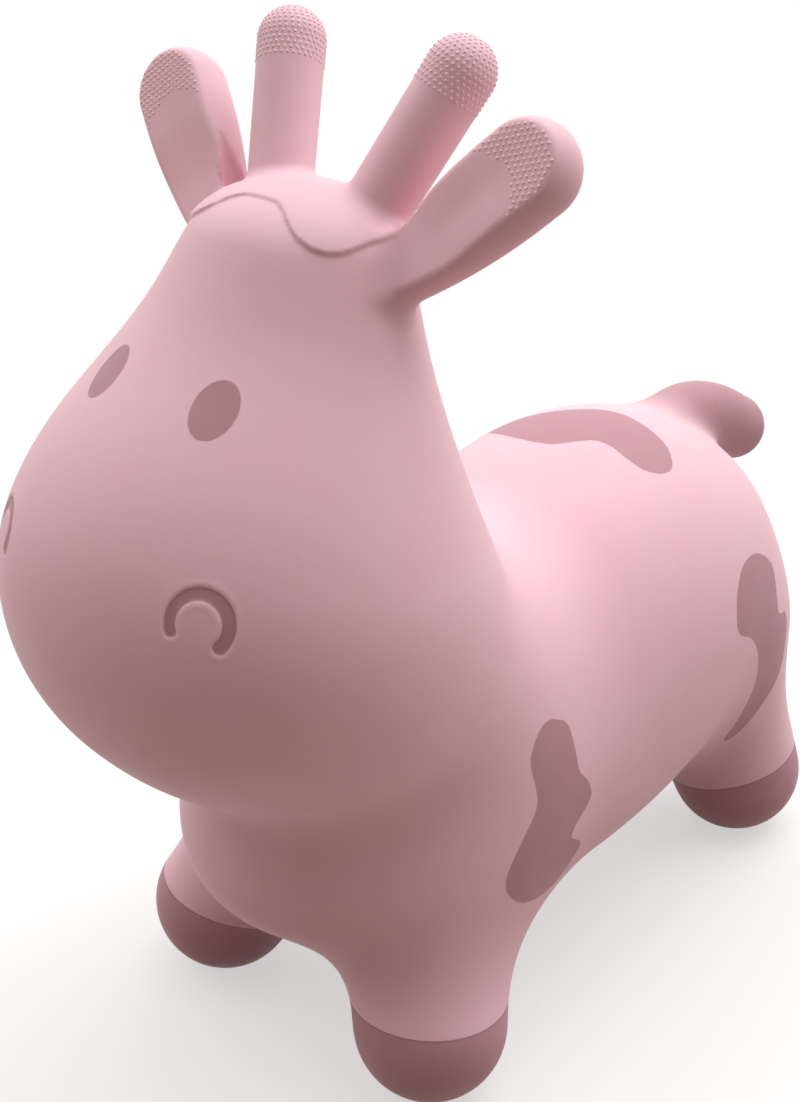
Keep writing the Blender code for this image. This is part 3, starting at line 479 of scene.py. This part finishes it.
EYE = np.array((0.0315, -0.2249, 0.4019))
EYE_NORMAL = np.array((0.36, -0.86, 0.36))
EYE_HALF_HEIGHT = 0.0124
EYE_HALF_WIDTH = 0.0098
EYE_LEAN = math.radians(-17)
BACK_PATCH = ((-0.072, 0.094), (-0.058, 0.080), (-0.040, 0.070), (-0.022, 0.065), (-0.006, 0.066),
              (0.004, 0.075), (0.012, 0.083), (0.022, 0.085), (0.034, 0.083), (0.045, 0.084),
              (0.052, 0.091), (0.053, 0.101), (0.046, 0.111), (0.036, 0.118), (0.020, 0.123),
              (0.004, 0.126), (-0.010, 0.124), (-0.027, 0.115), (-0.046, 0.107), (-0.062, 0.103))
SHOULDER_PATCH = ((-0.065, 0.2005), (-0.056, 0.193), (-0.0535, 0.178), (-0.053, 0.166), (-0.047, 0.157),
                  (-0.046, 0.148), (-0.053, 0.142), (-0.060, 0.137), (-0.0625, 0.131), (-0.055, 0.1245),
                  (-0.0535, 0.1195), (-0.060, 0.111), (-0.070, 0.104), (-0.085, 0.105), (-0.101, 0.111),
                  (-0.110, 0.121), (-0.1115, 0.132), (-0.102, 0.147), (-0.0915, 0.159), (-0.088, 0.167),
                  (-0.089, 0.177), (-0.091, 0.191), (-0.084, 0.2015), (-0.075, 0.2045))
FLANK_PATCH = ((0.118, 0.218), (0.130, 0.215), (0.142, 0.207), (0.1475, 0.199), (0.145, 0.187),
               (0.1435, 0.1745), (0.148, 0.171), (0.1555, 0.1685), (0.1585, 0.162), (0.157, 0.150),
               (0.156, 0.135), (0.149, 0.124), (0.136, 0.1135), (0.1235, 0.099), (0.115, 0.093),
               (0.1115, 0.097), (0.1135, 0.108), (0.1165, 0.123), (0.1178, 0.141), (0.1155, 0.155),
               (0.1115, 0.166), (0.103, 0.1765), (0.090, 0.1845), (0.0875, 0.193), (0.0935, 0.207),
               (0.105, 0.216))
RIGHT_SHOULDER_PATCH = tuple((0.030 + y, 0.333 - z) for y, z in SHOULDER_PATCH)
RIGHT_FLANK_PATCH = tuple((0.226 - y, 0.312 - z) for y, z in FLANK_PATCH)
# Each mask: its outline, the two axes it is drawn in, the way it faces, how far out that way its
# stretch of the trunk begins, and the middle and half length of that stretch.
MASKS = ((BACK_PATCH, (0, 1), (0, 0, 1), 0.23, 0.100, 0.05),
         (SHOULDER_PATCH, (1, 2), (1, 0, 0), 0.06, -0.080, 0.05),
         (FLANK_PATCH, (1, 2), (1, 0, 0), 0.06, 0.125, 0.06),
         (RIGHT_SHOULDER_PATCH, (1, 2), (-1, 0, 0), 0.06, -0.050, 0.05),
         (RIGHT_FLANK_PATCH, (1, 2), (-1, 0, 0), 0.06, 0.105, 0.06))
CHORDS_PER_POINT = 6
HOOF_LINE_Z = 0.049
FRONT_LINE_TILT = math.radians(12)
REAR_LINE_TILT = math.radians(18)
HOOF_REACH = 0.075
FACE_Y = -0.20
MARK_REACH = 0.05
MIST_START = 0.145
MIST_LENGTH = 0.055
MIST_EDGE = 0.012


def mask_distance(points, outline):
    """The distance in a plane to a closed curve through the outline's points, below zero inside: to
    the nearest of its short chords, with the sign from how many of them a line to the right crosses."""
    thrice = np.array(outline * 3)
    turn = CHORDS_PER_POINT * len(outline)
    curve = smooth_line(thrice, CHORDS_PER_POINT * (len(thrice) - 1) + 1)[turn : 2 * turn + 1]
    start, chord = curve[:-1], np.diff(curve, axis=0)
    offset = points[:, None, :] - start
    share = np.clip((offset * chord).sum(axis=2) / (chord * chord).sum(axis=1), 0, 1)
    near = np.linalg.norm(offset - share[..., None] * chord, axis=2).min(axis=1)
    high = offset[..., 1] / np.where(chord[:, 1] == 0, NEVER_ZERO, chord[:, 1])
    crossed = (high >= 0) & (high < 1) & (offset[..., 0] < high * chord[:, 0])
    return np.where(crossed.sum(axis=1) % 2 == 1, -near, near)


def oval_distance(half, centre, normal, half_height, half_width, lean):
    """Nearly the distance to an oval on the skin, in the plane that touches the skin at its middle."""
    across, up = tangent_frame(unit(normal))
    x, y = turned((half - centre) @ across, (half - centre) @ up, lean)
    size = np.hypot(x / half_width, y / half_height)
    return (size - 1) * np.hypot(x, y) / np.maximum(size, NEVER_ZERO)


def hoof_distance(half):
    """The height over the slanted plane in which each hoof's line lies."""
    shape = np.full(len(half), FAR_AWAY)
    for hip, hoof, tilt in ((FRONT_HIP, FRONT_HOOF, FRONT_LINE_TILT), (REAR_HIP, REAR_HOOF, REAR_LINE_TILT)):
        point = hip + (hoof - hip) * (hip[2] - HOOF_LINE_Z) / (hip[2] - hoof[2])
        outwards = unit((hoof - hip) * (1, 1, 0))
        normal = np.array((0, 0, 1)) * math.cos(tilt) - outwards * math.sin(tilt)
        mine = np.linalg.norm((half - hoof)[:, :2], axis=1) < HOOF_REACH
        shape[mine] = ((half - point) @ normal)[mine]
    return shape


def paint_distance(points):
    """The distance to the nearest masked mark, below zero inside it."""
    half = to_left(points)
    shape = np.minimum(hoof_distance(half), MARK_REACH)
    face = half[:, 1] < FACE_Y
    eye = oval_distance(half[face], EYE, EYE_NORMAL, EYE_HALF_HEIGHT, EYE_HALF_WIDTH, EYE_LEAN)
    shape[face] = np.minimum(shape[face], eye)
    near = np.linalg.norm(half - NOSTRIL, axis=1) < NOSTRIL_REACH
    shape[near] = np.minimum(shape[near], nostril_distance(half[near]))
    for outline, axes, way, begins, middle, half_length in MASKS:
        mine = (points @ way > begins) & (np.abs(points[:, 1] - middle) < half_length)
        shape[mine] = np.minimum(shape[mine], mask_distance(points[mine][:, axes], outline))
    return shape


paint = paint_distance(skin_points)
mist_along = step((skin_points[:, 1] - MIST_START) / MIST_LENGTH)
spray = mist_along * (1 - step(tail(skin_points) / MIST_EDGE))
hoof_line = hoof_distance(to_left(skin_points))


# The vinyl
# Plasticised PVC, moulded and left as it came out: a faintly clouded pink, with the fine grain of the
# sand-blasted mould, which spreads each highlight into a soft sheen. The mauve vinyl paint takes the same
# grain. Its masked edges are not quite sharp, and a thin dark line of painted shade at the top of each
# hoof stands for the shadow in the moulded groove there.


def linear(colour):
    """An sRGB hex colour as linear light: (c / 12.92), or ((c + 0.055) / 1.055)^2.4 above 0.04045."""
    parts = [int(colour[i : i + 2], 16) / 255 for i in (0, 2, 4)]
    return (*(p / 12.92 if p <= 0.04045 else ((p + 0.055) / 1.055) ** 2.4 for p in parts), 1)


def add(tree, kind, settings=None, **inputs):
    """Add a node. Settings are its own properties. Inputs are values or other nodes' sockets, keyed by
    name, or by number after an underscore."""
    node = tree.nodes.new(kind)
    for name, value in (settings or {}).items():
        setattr(node, name, value)
    for name, value in inputs.items():
        socket = node.inputs[int(name[1:])] if name[0] == "_" else node.inputs[name.replace("_", " ")]
        if isinstance(value, bpy.types.NodeSocket):
            tree.links.new(value, socket)
        else:
            socket.default_value = value
    return node


def new_material(name):
    """A material with its node tree and its shader."""
    material = bpy.data.materials.new(name)
    material.use_nodes = True
    return material, material.node_tree, material.node_tree.nodes["Principled BSDF"]


def per(millimetres):
    """A noise's scale, for spots of about this size on a piece that is drawn in metres."""
    return 1000 / millimetres


COLOURS = {"data_type": "RGBA"}
SMOOTH = {"interpolation_type": "SMOOTHSTEP"}
vinyl, tree, shader = new_material("soft_pvc_satin_pink_painted_mauve")
place = add(tree, "ShaderNodeTexCoord").outputs["Object"]
cloud = add(tree, "ShaderNodeTexNoise", Vector=place, Scale=per(45), Detail=3.0, Roughness=0.5)
pink = add(tree, "ShaderNodeMix", COLOURS, _0=cloud.outputs["Fac"],
           _6=linear("F0C3CE"), _7=linear("EECAD3"))
speck = add(tree, "ShaderNodeTexNoise", Vector=place, Scale=per(12), Detail=4.0, Roughness=0.6)
mauve = add(tree, "ShaderNodeMix", COLOURS, _0=speck.outputs["Fac"],
            _6=linear("B88A93"), _7=linear("C1939B"))
wobble = add(tree, "ShaderNodeTexNoise", Vector=place, Scale=per(3.5), Detail=2.0)
edge = add(tree, "ShaderNodeAttribute", {"attribute_name": "paint_mm"}).outputs["Fac"]
frayed = add(tree, "ShaderNodeMath", {"operation": "MULTIPLY_ADD"}, _0=wobble.outputs["Fac"], _1=0.5, _2=edge)
masked = add(tree, "ShaderNodeMapRange", SMOOTH, Value=frayed.outputs[0],
             From_Min=-0.05, From_Max=0.55, To_Min=1.0, To_Max=0.0)
mist = add(tree, "ShaderNodeAttribute", {"attribute_name": "spray"}).outputs["Fac"]
covered = add(tree, "ShaderNodeMath", {"operation": "MAXIMUM"}, _0=masked.outputs["Result"], _1=mist)
coat = add(tree, "ShaderNodeMix", COLOURS, _0=covered.outputs[0],
           _6=pink.outputs[2], _7=mauve.outputs[2])
# Painted shade: a darker mauve line, within about half a millimetre of each hoof's line, stands for the
# shadow in the moulded groove.
height = add(tree, "ShaderNodeAttribute", {"attribute_name": "hoof_mm"}).outputs["Fac"]
beside = add(tree, "ShaderNodeMath", {"operation": "ABSOLUTE"}, _0=height)
groove_painted_shade = add(tree, "ShaderNodeMapRange", SMOOTH, Value=beside.outputs[0],
             From_Min=0.15, From_Max=0.60, To_Min=0.55, To_Max=0.0)
with_groove_shade = add(tree, "ShaderNodeMix", COLOURS, _0=groove_painted_shade.outputs["Result"],
            _6=coat.outputs[2], _7=linear("6E4650"))
tree.links.new(with_groove_shade.outputs[2], shader.inputs["Base Color"])
patchy = add(tree, "ShaderNodeTexNoise", Vector=place, Scale=per(30), Detail=3.0)
gloss = add(tree, "ShaderNodeMapRange", Value=patchy.outputs["Fac"], From_Min=0.3, From_Max=0.7,
            To_Min=0.52, To_Max=0.60)
tree.links.new(gloss.outputs["Result"], shader.inputs["Roughness"])
# A sand-blasted grain is well below a millimetre. It is drawn at 1.1 mm, so that the render shows it.
grain = add(tree, "ShaderNodeTexNoise", Vector=place, Scale=per(1.1), Detail=2.0)
peel = add(tree, "ShaderNodeTexNoise", Vector=place, Scale=per(7), Detail=1.0)
relief = add(tree, "ShaderNodeMath", {"operation": "MULTIPLY_ADD"}, _0=peel.outputs["Fac"], _1=1.5,
             _2=grain.outputs["Fac"])
bump = add(tree, "ShaderNodeBump", Height=relief.outputs[0], Strength=0.35, Distance=0.00012)
tree.links.new(bump.outputs["Normal"], shader.inputs["Normal"])
shader.inputs["IOR"].default_value = 1.52
shader.inputs["Specular IOR Level"].default_value = 0.35
shader.inputs["Subsurface Weight"].default_value = 0.07
shader.inputs["Subsurface Radius"].default_value = (0.006, 0.0025, 0.002)
shader.inputs["Subsurface Scale"].default_value = 1.0


# The skin's parts
# Trunk, head, legs, horns, ears and tail, told apart by planes across each limb. Each part begins a
# little before the stretch that is noted as its bend.

NECK_PIVOT = np.array((0, -0.104, 0.229))
NECK_LEAN = math.radians(19)
NECK_WAY = np.array((0, -math.sin(NECK_LEAN), math.cos(NECK_LEAN)))
FRONT_PIVOT = np.array((0.0618, -0.1176, 0.068))
FRONT_WAY = unit(np.array((0.50, -0.45, -0.74)))
REAR_PIVOT = np.array((0.0741, 0.1623, 0.068))
REAR_WAY = unit(np.array((0.50, 0.42, -0.757)))
LEG_TOP = 0.15
EAR_REACH = 0.035
HORN_REACH = 0.024
TAIL_PIVOT = np.array((0, 0.1940, 0.2370))
TAIL_WAY = unit(np.array((0, 0.87, 0.49)))
TAIL_FILLET = 0.004
# Along each limb from its pivot: where the part begins, where its bend begins, and where that ends.
NECK_SPAN = (0, 0.002, 0.035)
LEG_SPAN = (-0.011, -0.008, 0.030)
EAR_SPAN = (0.013, 0.015, 0.030)
HORN_SPAN = (0.010, 0.012, 0.024)
TAIL_SPAN = (0.0168, 0.0190, 0.052)

face_count = len(whole.polygons)
face_middles = np.empty(face_count * 3)
whole.polygons.foreach_get("center", face_middles)
face_middles = face_middles.reshape(-1, 3)
half_middles = to_left(face_middles)
on_left = face_middles[:, 0] > 0
part_of = np.full(face_count, "skin_trunk", dtype=object)
bends = {}
replaced = {"skin_trunk": ["torso_skin", "back_patch", "left_shoulder_patch", "left_flank_patch",
                           "right_shoulder_patch", "right_flank_patch"]}


def passed(points, pivot, way, start):
    """Whether each point lies beyond a plane across the limb, this far from the pivot."""
    return (points - pivot) @ way > start


def part(name, mine, carrier, body, pivot, way, span, nodes):
    """Name a part's facets, the two bodies it bends between and where, and the nodes it replaces."""
    part_of[mine] = name
    bends[name] = (carrier, body, pivot + way * span[1], pivot + way * span[2])
    replaced[name] = nodes


part("skin_head", passed(face_middles, NECK_PIVOT, NECK_WAY, NECK_SPAN[0]), "torso", "head",
     NECK_PIVOT, NECK_WAY, NECK_SPAN,
     ["head_skin", "forelock", "left_eye", "right_eye", "left_nostril", "right_nostril"])
for end, pivot, way in (("front", FRONT_PIVOT, FRONT_WAY), ("rear", REAR_PIVOT, REAR_WAY)):
    on_limb = passed(half_middles, pivot, way, LEG_SPAN[0]) & (face_middles[:, 2] < LEG_TOP)
    for side_name, side in SIDES.items():
        leg = f"{end}_{side_name}_leg"
        part(f"skin_{leg}", on_limb & (on_left == (side[0] > 0)), "torso", leg,
             pivot * side, way * side, LEG_SPAN, [leg, f"{end}_{side_name}_hoof"])
for kind, pivot, way, span, reach in (("ear", EAR_ROOT, EAR_WAY, EAR_SPAN, EAR_REACH),
                                      ("horn", HORN_ROOT, HORN_WAY, HORN_SPAN, HORN_REACH)):
    offset = half_middles - pivot
    along = offset @ way
    beside = np.linalg.norm(offset - along[:, None] * way, axis=1)
    on_limb = (along > span[0]) & (beside < reach)
    for side_name, side in SIDES.items():
        part(f"skin_{side_name}_{kind}", on_limb & (on_left == (side[0] > 0)), "head", f"{side_name}_{kind}",
             pivot * side, way * side, span, [f"{side_name}_{kind}"])
on_limb = passed(face_middles, TAIL_PIVOT, TAIL_WAY, TAIL_SPAN[0]) & (tail(face_middles) < TAIL_FILLET)
part("skin_tail", on_limb, "torso", "tail", TAIL_PIVOT, TAIL_WAY, TAIL_SPAN, ["tail", "tail_tip"])

corner_counts = np.empty(face_count, int)
corners = np.empty(len(whole.loops), int)
whole.polygons.foreach_get("loop_total", corner_counts)
whole.loops.foreach_get("vertex_index", corners)
corner_face = np.repeat(np.arange(face_count), corner_counts)
for name in ("skin_trunk", *bends):
    mine = part_of == name
    used, fresh = np.unique(corners[mine[corner_face]], return_inverse=True)
    cuts = np.cumsum(corner_counts[mine])[:-1]
    mesh = mesh_from(name, skin_points[used], [face.tolist() for face in np.split(fresh, cuts)])
    mesh.shade_smooth()
    mesh.normals_split_custom_set_from_vertices(skin_normals[used])
    for attribute, values in (("paint_mm", paint * 1000), ("spray", spray), ("hoof_mm", hoof_line * 1000)):
        layer = mesh.attributes.new(attribute, "FLOAT", "POINT")
        layer.data.foreach_set("value", values[used].astype(np.float32))
    mesh.materials.append(vinyl)
    piece = shown(name, mesh)
    if name in bends:
        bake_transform(piece)
    else:
        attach(piece, "torso")
    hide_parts(*replaced[name])


# The grip studs
# Small domes moulded on the horns' caps and on the top of each ear's face, for wet little hands.

STUD_PITCH = 0.0027
STUD_ROW = 0.87 * STUD_PITCH
STUD_RADIUS = 0.00075
STUD_HEIGHT = 0.00038
STUD_SIDES = 8
STUD_RINGS = np.array((1.9, 1.25, 0.65))
CAP_LENGTH = 0.026
CAP_SEED_GAP = 0.001
EAR_STUDS_BEGIN = 0.068
EAR_STUDS_BOW = 0.010
EAR_STUDS_HALF_WIDTH = 0.0165
EAR_ROWS_BEGIN = 0.055
EAR_ROWS = 16
EAR_COLUMNS_EACH_SIDE = 8
EAR_SEED_LEVEL = 0.0135

# The same vinyl in a paler pink, a painted highlight for the light each dome catches, and a little smoother,
# so that each dome stands out as a dot.
stud_painted_highlight, tree, shader = new_material("soft_pvc_pale_painted_highlight")
shader.inputs["Base Color"].default_value = linear("F6D6DC")
shader.inputs["Roughness"].default_value = 0.50


def dropped(seeds, ways, steps=8, longest=0.003, least_slope=0.3):
    """The seeds moved onto the skin along their own ways: less level / (slope . way) each time."""
    for _ in range(steps):
        level, slope = level_and_slope(skin, seeds)
        move = level / np.minimum((slope * ways).sum(axis=1), -least_slope)
        seeds = seeds - ways * np.clip(move, -longest, longest)[:, None]
    return seeds


def studs(name, body, seeds, ways):
    """A dome on each seed: rings of radius sin v and height cos v, standing along the skin's normal."""
    seeds = dropped(seeds, ways)
    _, slopes = level_and_slope(skin, seeds)
    normals = slopes / np.linalg.norm(slopes, axis=1, keepdims=True)
    across = np.cross(normals, (0.3, 0.9, 0.2))
    across /= np.linalg.norm(across, axis=1, keepdims=True)
    up = np.cross(normals, across)
    sides, rings, total = STUD_SIDES, len(STUD_RINGS), len(seeds)
    u, v = np.meshgrid(np.linspace(0, 2 * math.pi, sides, endpoint=False), STUD_RINGS)
    u, v = u[..., None, None], v[..., None, None]
    sideways = np.cos(u) * np.sin(v) * across + np.sin(u) * np.sin(v) * up
    dome = seeds + STUD_RADIUS * sideways + STUD_HEIGHT * np.cos(v) * normals
    points = np.concatenate((dome.reshape(sides * rings, total, 3), (seeds + STUD_HEIGHT * normals)[None]))
    row, column = np.meshgrid(np.arange(rings - 1), np.arange(sides), indexing="ij")
    following = (column + 1) % sides
    quads = np.stack((row * sides + column, row * sides + following,
                      (row + 1) * sides + following, (row + 1) * sides + column), axis=-1).reshape(-1, 4)
    tips = np.stack((quads[-sides:, 3], quads[-sides:, 2], np.full(sides, sides * rings)), axis=-1)
    faces = [(face * total + stud).tolist() for face in (*quads, *tips) for stud in range(total)]
    mesh = mesh_from(name, points.reshape(-1, 3), faces)
    mesh.shade_smooth()
    mesh.materials.append(stud_painted_highlight)
    piece = shown(name, mesh)
    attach(piece, body)


horn_across = unit(np.cross(HORN_WAY, (0, -1, 0)))
horn_front = np.cross(horn_across, HORN_WAY)
cap_rows = []
for number in range(int((CAP_LENGTH - HORN_TIP_RADIUS + HORN_TIP_RADIUS * math.pi / 2) / STUD_ROW)):
    run = HORN_TIP_RADIUS - CAP_LENGTH + number * STUD_ROW
    lean = max(run, 0) / HORN_TIP_RADIUS
    girth = HORN_TIP_RADIUS * math.cos(lean)
    in_row = max(int(2 * math.pi * girth / STUD_PITCH), 1)
    angles = (np.arange(in_row) + number % 2 / 2) * 2 * math.pi / in_row
    sideways = np.cos(angles)[:, None] * horn_across + np.sin(angles)[:, None] * horn_front
    out = math.cos(lean) * sideways + math.sin(lean) * HORN_WAY
    middle = HORN_ROOT + HORN_WAY * (HORN_LENGTH + min(run, 0))
    cap_rows.append(np.hstack((middle + out * (HORN_TIP_RADIUS + CAP_SEED_GAP), -out)))
horn_seeds, horn_ways = np.hsplit(np.vstack(cap_rows), 2)
rows = np.arange(EAR_ROWS)
columns = np.arange(-EAR_COLUMNS_EACH_SIDE, EAR_COLUMNS_EACH_SIDE + 1)
across, along = np.meshgrid(columns * STUD_PITCH, rows * STUD_ROW + EAR_ROWS_BEGIN, indexing="ij")
across = across + (rows % 2) * STUD_PITCH / 2
past = np.maximum(along - EAR_LENGTH, 0) / EAR_STUDS_HALF_WIDTH
room = np.sqrt(np.maximum(1 - np.square(past), 0)) * EAR_STUDS_HALF_WIDTH
begin = EAR_STUDS_BEGIN - EAR_STUDS_BOW * np.square(across / EAR_STUDS_HALF_WIDTH)
kept = (np.abs(across) < room) & (along > begin)
ear_seeds = EAR_ROOT + along[kept][:, None] * EAR_WAY + (across[kept] + EAR_OFFSET)[:, None] * EAR_ACROSS
ear_seeds = ear_seeds + EAR_SEED_LEVEL * EAR_FRONT
ear_ways = np.tile(-EAR_FRONT, (len(ear_seeds), 1))
for side_name, side in SIDES.items():
    studs(f"{side_name}_horn_grips", f"{side_name}_horn", horn_seeds * side, horn_ways * side)
    studs(f"{side_name}_ear_grips", f"{side_name}_ear", ear_seeds * side, ear_ways * side)


# The valve
# A flanged seat of white rubber welded into the belly, and the plug that is pushed up into it.

# Moulded rubber with a white filler: matt, with a faint unevenness that keeps it from looking like paper.
rubber, tree, shader = new_material("moulded_white_rubber")
place = add(tree, "ShaderNodeTexCoord").outputs["Object"]
dust = add(tree, "ShaderNodeTexNoise", Vector=place, Scale=per(4), Detail=3.0)
shade = add(tree, "ShaderNodeMix", COLOURS, _0=dust.outputs["Fac"], _6=linear("E9E1DA"), _7=linear("DDD3CB"))
tree.links.new(shade.outputs[2], shader.inputs["Base Color"])
shader.inputs["Roughness"].default_value = 0.5
for name in ("valve_seat", "valve_plug"):
    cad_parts[name].material_slots[0].material = rubber


# The floor, the light and the camera
# A plain pale floor that keeps the shadow, in a white tent that is lit from over the rump and dim in
# front, with a large soft lamp above and a weak one before the animal's right side. The camera stands
# where the photograph's did.

FLOOR_HALF_WIDTH = 9.0


def seen_rays(tree):
    """1 for the rays that show a background: to the camera, in a gloss, or through glass."""
    path = add(tree, "ShaderNodeLightPath")
    two = add(tree, "ShaderNodeMath", {"operation": "MAXIMUM"},
              _0=path.outputs["Is Camera Ray"], _1=path.outputs["Is Glossy Ray"])
    three = add(tree, "ShaderNodeMath", {"operation": "MAXIMUM"},
                _0=two.outputs[0], _1=path.outputs["Is Transmission Ray"])
    return three.outputs[0]


# Matt paper: it takes a soft shadow near the object, and further off it fades to the white behind.
paper, tree, sheet = new_material("white_paper_floor")
sheet.inputs["Roughness"].default_value = 0.9
place = add(tree, "ShaderNodeTexCoord").outputs["Object"]
away = add(tree, "ShaderNodeVectorMath", {"operation": "LENGTH"}, _0=place)
fade = add(tree, "ShaderNodeMapRange", SMOOTH, Value=away.outputs["Value"],
           From_Min=0.25, From_Max=0.80, To_Min=0.55, To_Max=1.0)
share = add(tree, "ShaderNodeMath", {"operation": "MULTIPLY"}, _0=fade.outputs["Result"], _1=seen_rays(tree))
white = add(tree, "ShaderNodeEmission", Color=(1, 1, 1, 1), Strength=1.0)
both = add(tree, "ShaderNodeMixShader", _0=share.outputs[0], _1=sheet.outputs[0], _2=white.outputs[0])
tree.links.new(both.outputs[0], tree.nodes["Material Output"].inputs["Surface"])
tone = add(tree, "ShaderNodeMix", COLOURS, _0=seen_rays(tree), _6=linear("98857C"), _7=linear("FBFBFB"))
tree.links.new(tone.outputs[2], sheet.inputs["Base Color"])
floor_corners = np.array(((-1, -1, 0), (1, -1, 0), (1, 1, 0), (-1, 1, 0))) * FLOOR_HALF_WIDTH
floor = shown("floor", mesh_from("floor", floor_corners, [(0, 1, 2, 3)]))
floor.data.materials.append(paper)

LIGHT_WAY = Vector((-0.48, 0.76, 0.45))
world = bpy.data.worlds.new("white_tent")
bpy.context.scene.world = world
world.use_nodes = True
tree = world.node_tree
background = tree.nodes["Background"]
looking = add(tree, "ShaderNodeTexCoord").outputs["Generated"]
facing = add(tree, "ShaderNodeVectorMath", {"operation": "DOT_PRODUCT"}, _0=looking, _1=LIGHT_WAY)
tent = add(tree, "ShaderNodeMapRange", SMOOTH, Value=facing.outputs["Value"],
           From_Min=-0.5, From_Max=0.7, To_Min=0.10, To_Max=1.38)
power = add(tree, "ShaderNodeMix", _0=seen_rays(tree), _2=tent.outputs["Result"], _3=1.0)
warmth = add(tree, "ShaderNodeMix", COLOURS, _0=tent.outputs["Result"],
             _6=linear("FFCFBE"), _7=linear("FFFDFD"))
tone = add(tree, "ShaderNodeMix", COLOURS, _0=seen_rays(tree), _6=warmth.outputs[2], _7=linear("FFFFFF"))
tree.links.new(tone.outputs[2], background.inputs["Color"])
tree.links.new(power.outputs[0], background.inputs["Strength"])


def lamp(name, stand, target, size, watts, colour):
    """A square soft box that looks at a point."""
    light = bpy.data.lights.new(name, "AREA")
    light.size = size
    light.energy = watts
    light.color = linear(colour)[:3]
    box = shown(name, light)
    box.location = stand
    box.rotation_euler = (Vector(target) - Vector(stand)).to_track_quat("-Z", "Y").to_euler()


lamp("key", (0.3, 0.7, 2.1), (0, 0, 0.25), 1.6, 18, "FFFDFD")
lamp("fill", (-1.5, -1.2, 1.5), (0, 0, 0.35), 1.4, 5, "FFF6F0")

CAMERA_PLACE = (0.4663, -0.6250, 0.6575)
AZIMUTH, ELEVATION, ROLL = (math.radians(angle) for angle in (40.2, 28.5, 0.3))
SENSOR_WIDTH = 36
LENS = 72.53
right = Vector((math.cos(AZIMUTH), math.sin(AZIMUTH), 0))
back = Vector((math.sin(AZIMUTH) * math.cos(ELEVATION), -math.cos(AZIMUTH) * math.cos(ELEVATION),
               math.sin(ELEVATION)))
axes = Matrix((right, back.cross(right), back)).transposed().to_4x4()
camera = shown("camera", bpy.data.cameras.new("camera"))
camera.matrix_world = Matrix.Translation(CAMERA_PLACE) @ axes @ Matrix.Rotation(ROLL, 4, "Z")
camera.data.sensor_fit = "HORIZONTAL"
camera.data.sensor_width = SENSOR_WIDTH
camera.data.lens = LENS
bpy.context.scene.camera = camera
bpy.context.scene.view_settings.view_transform = "Standard"
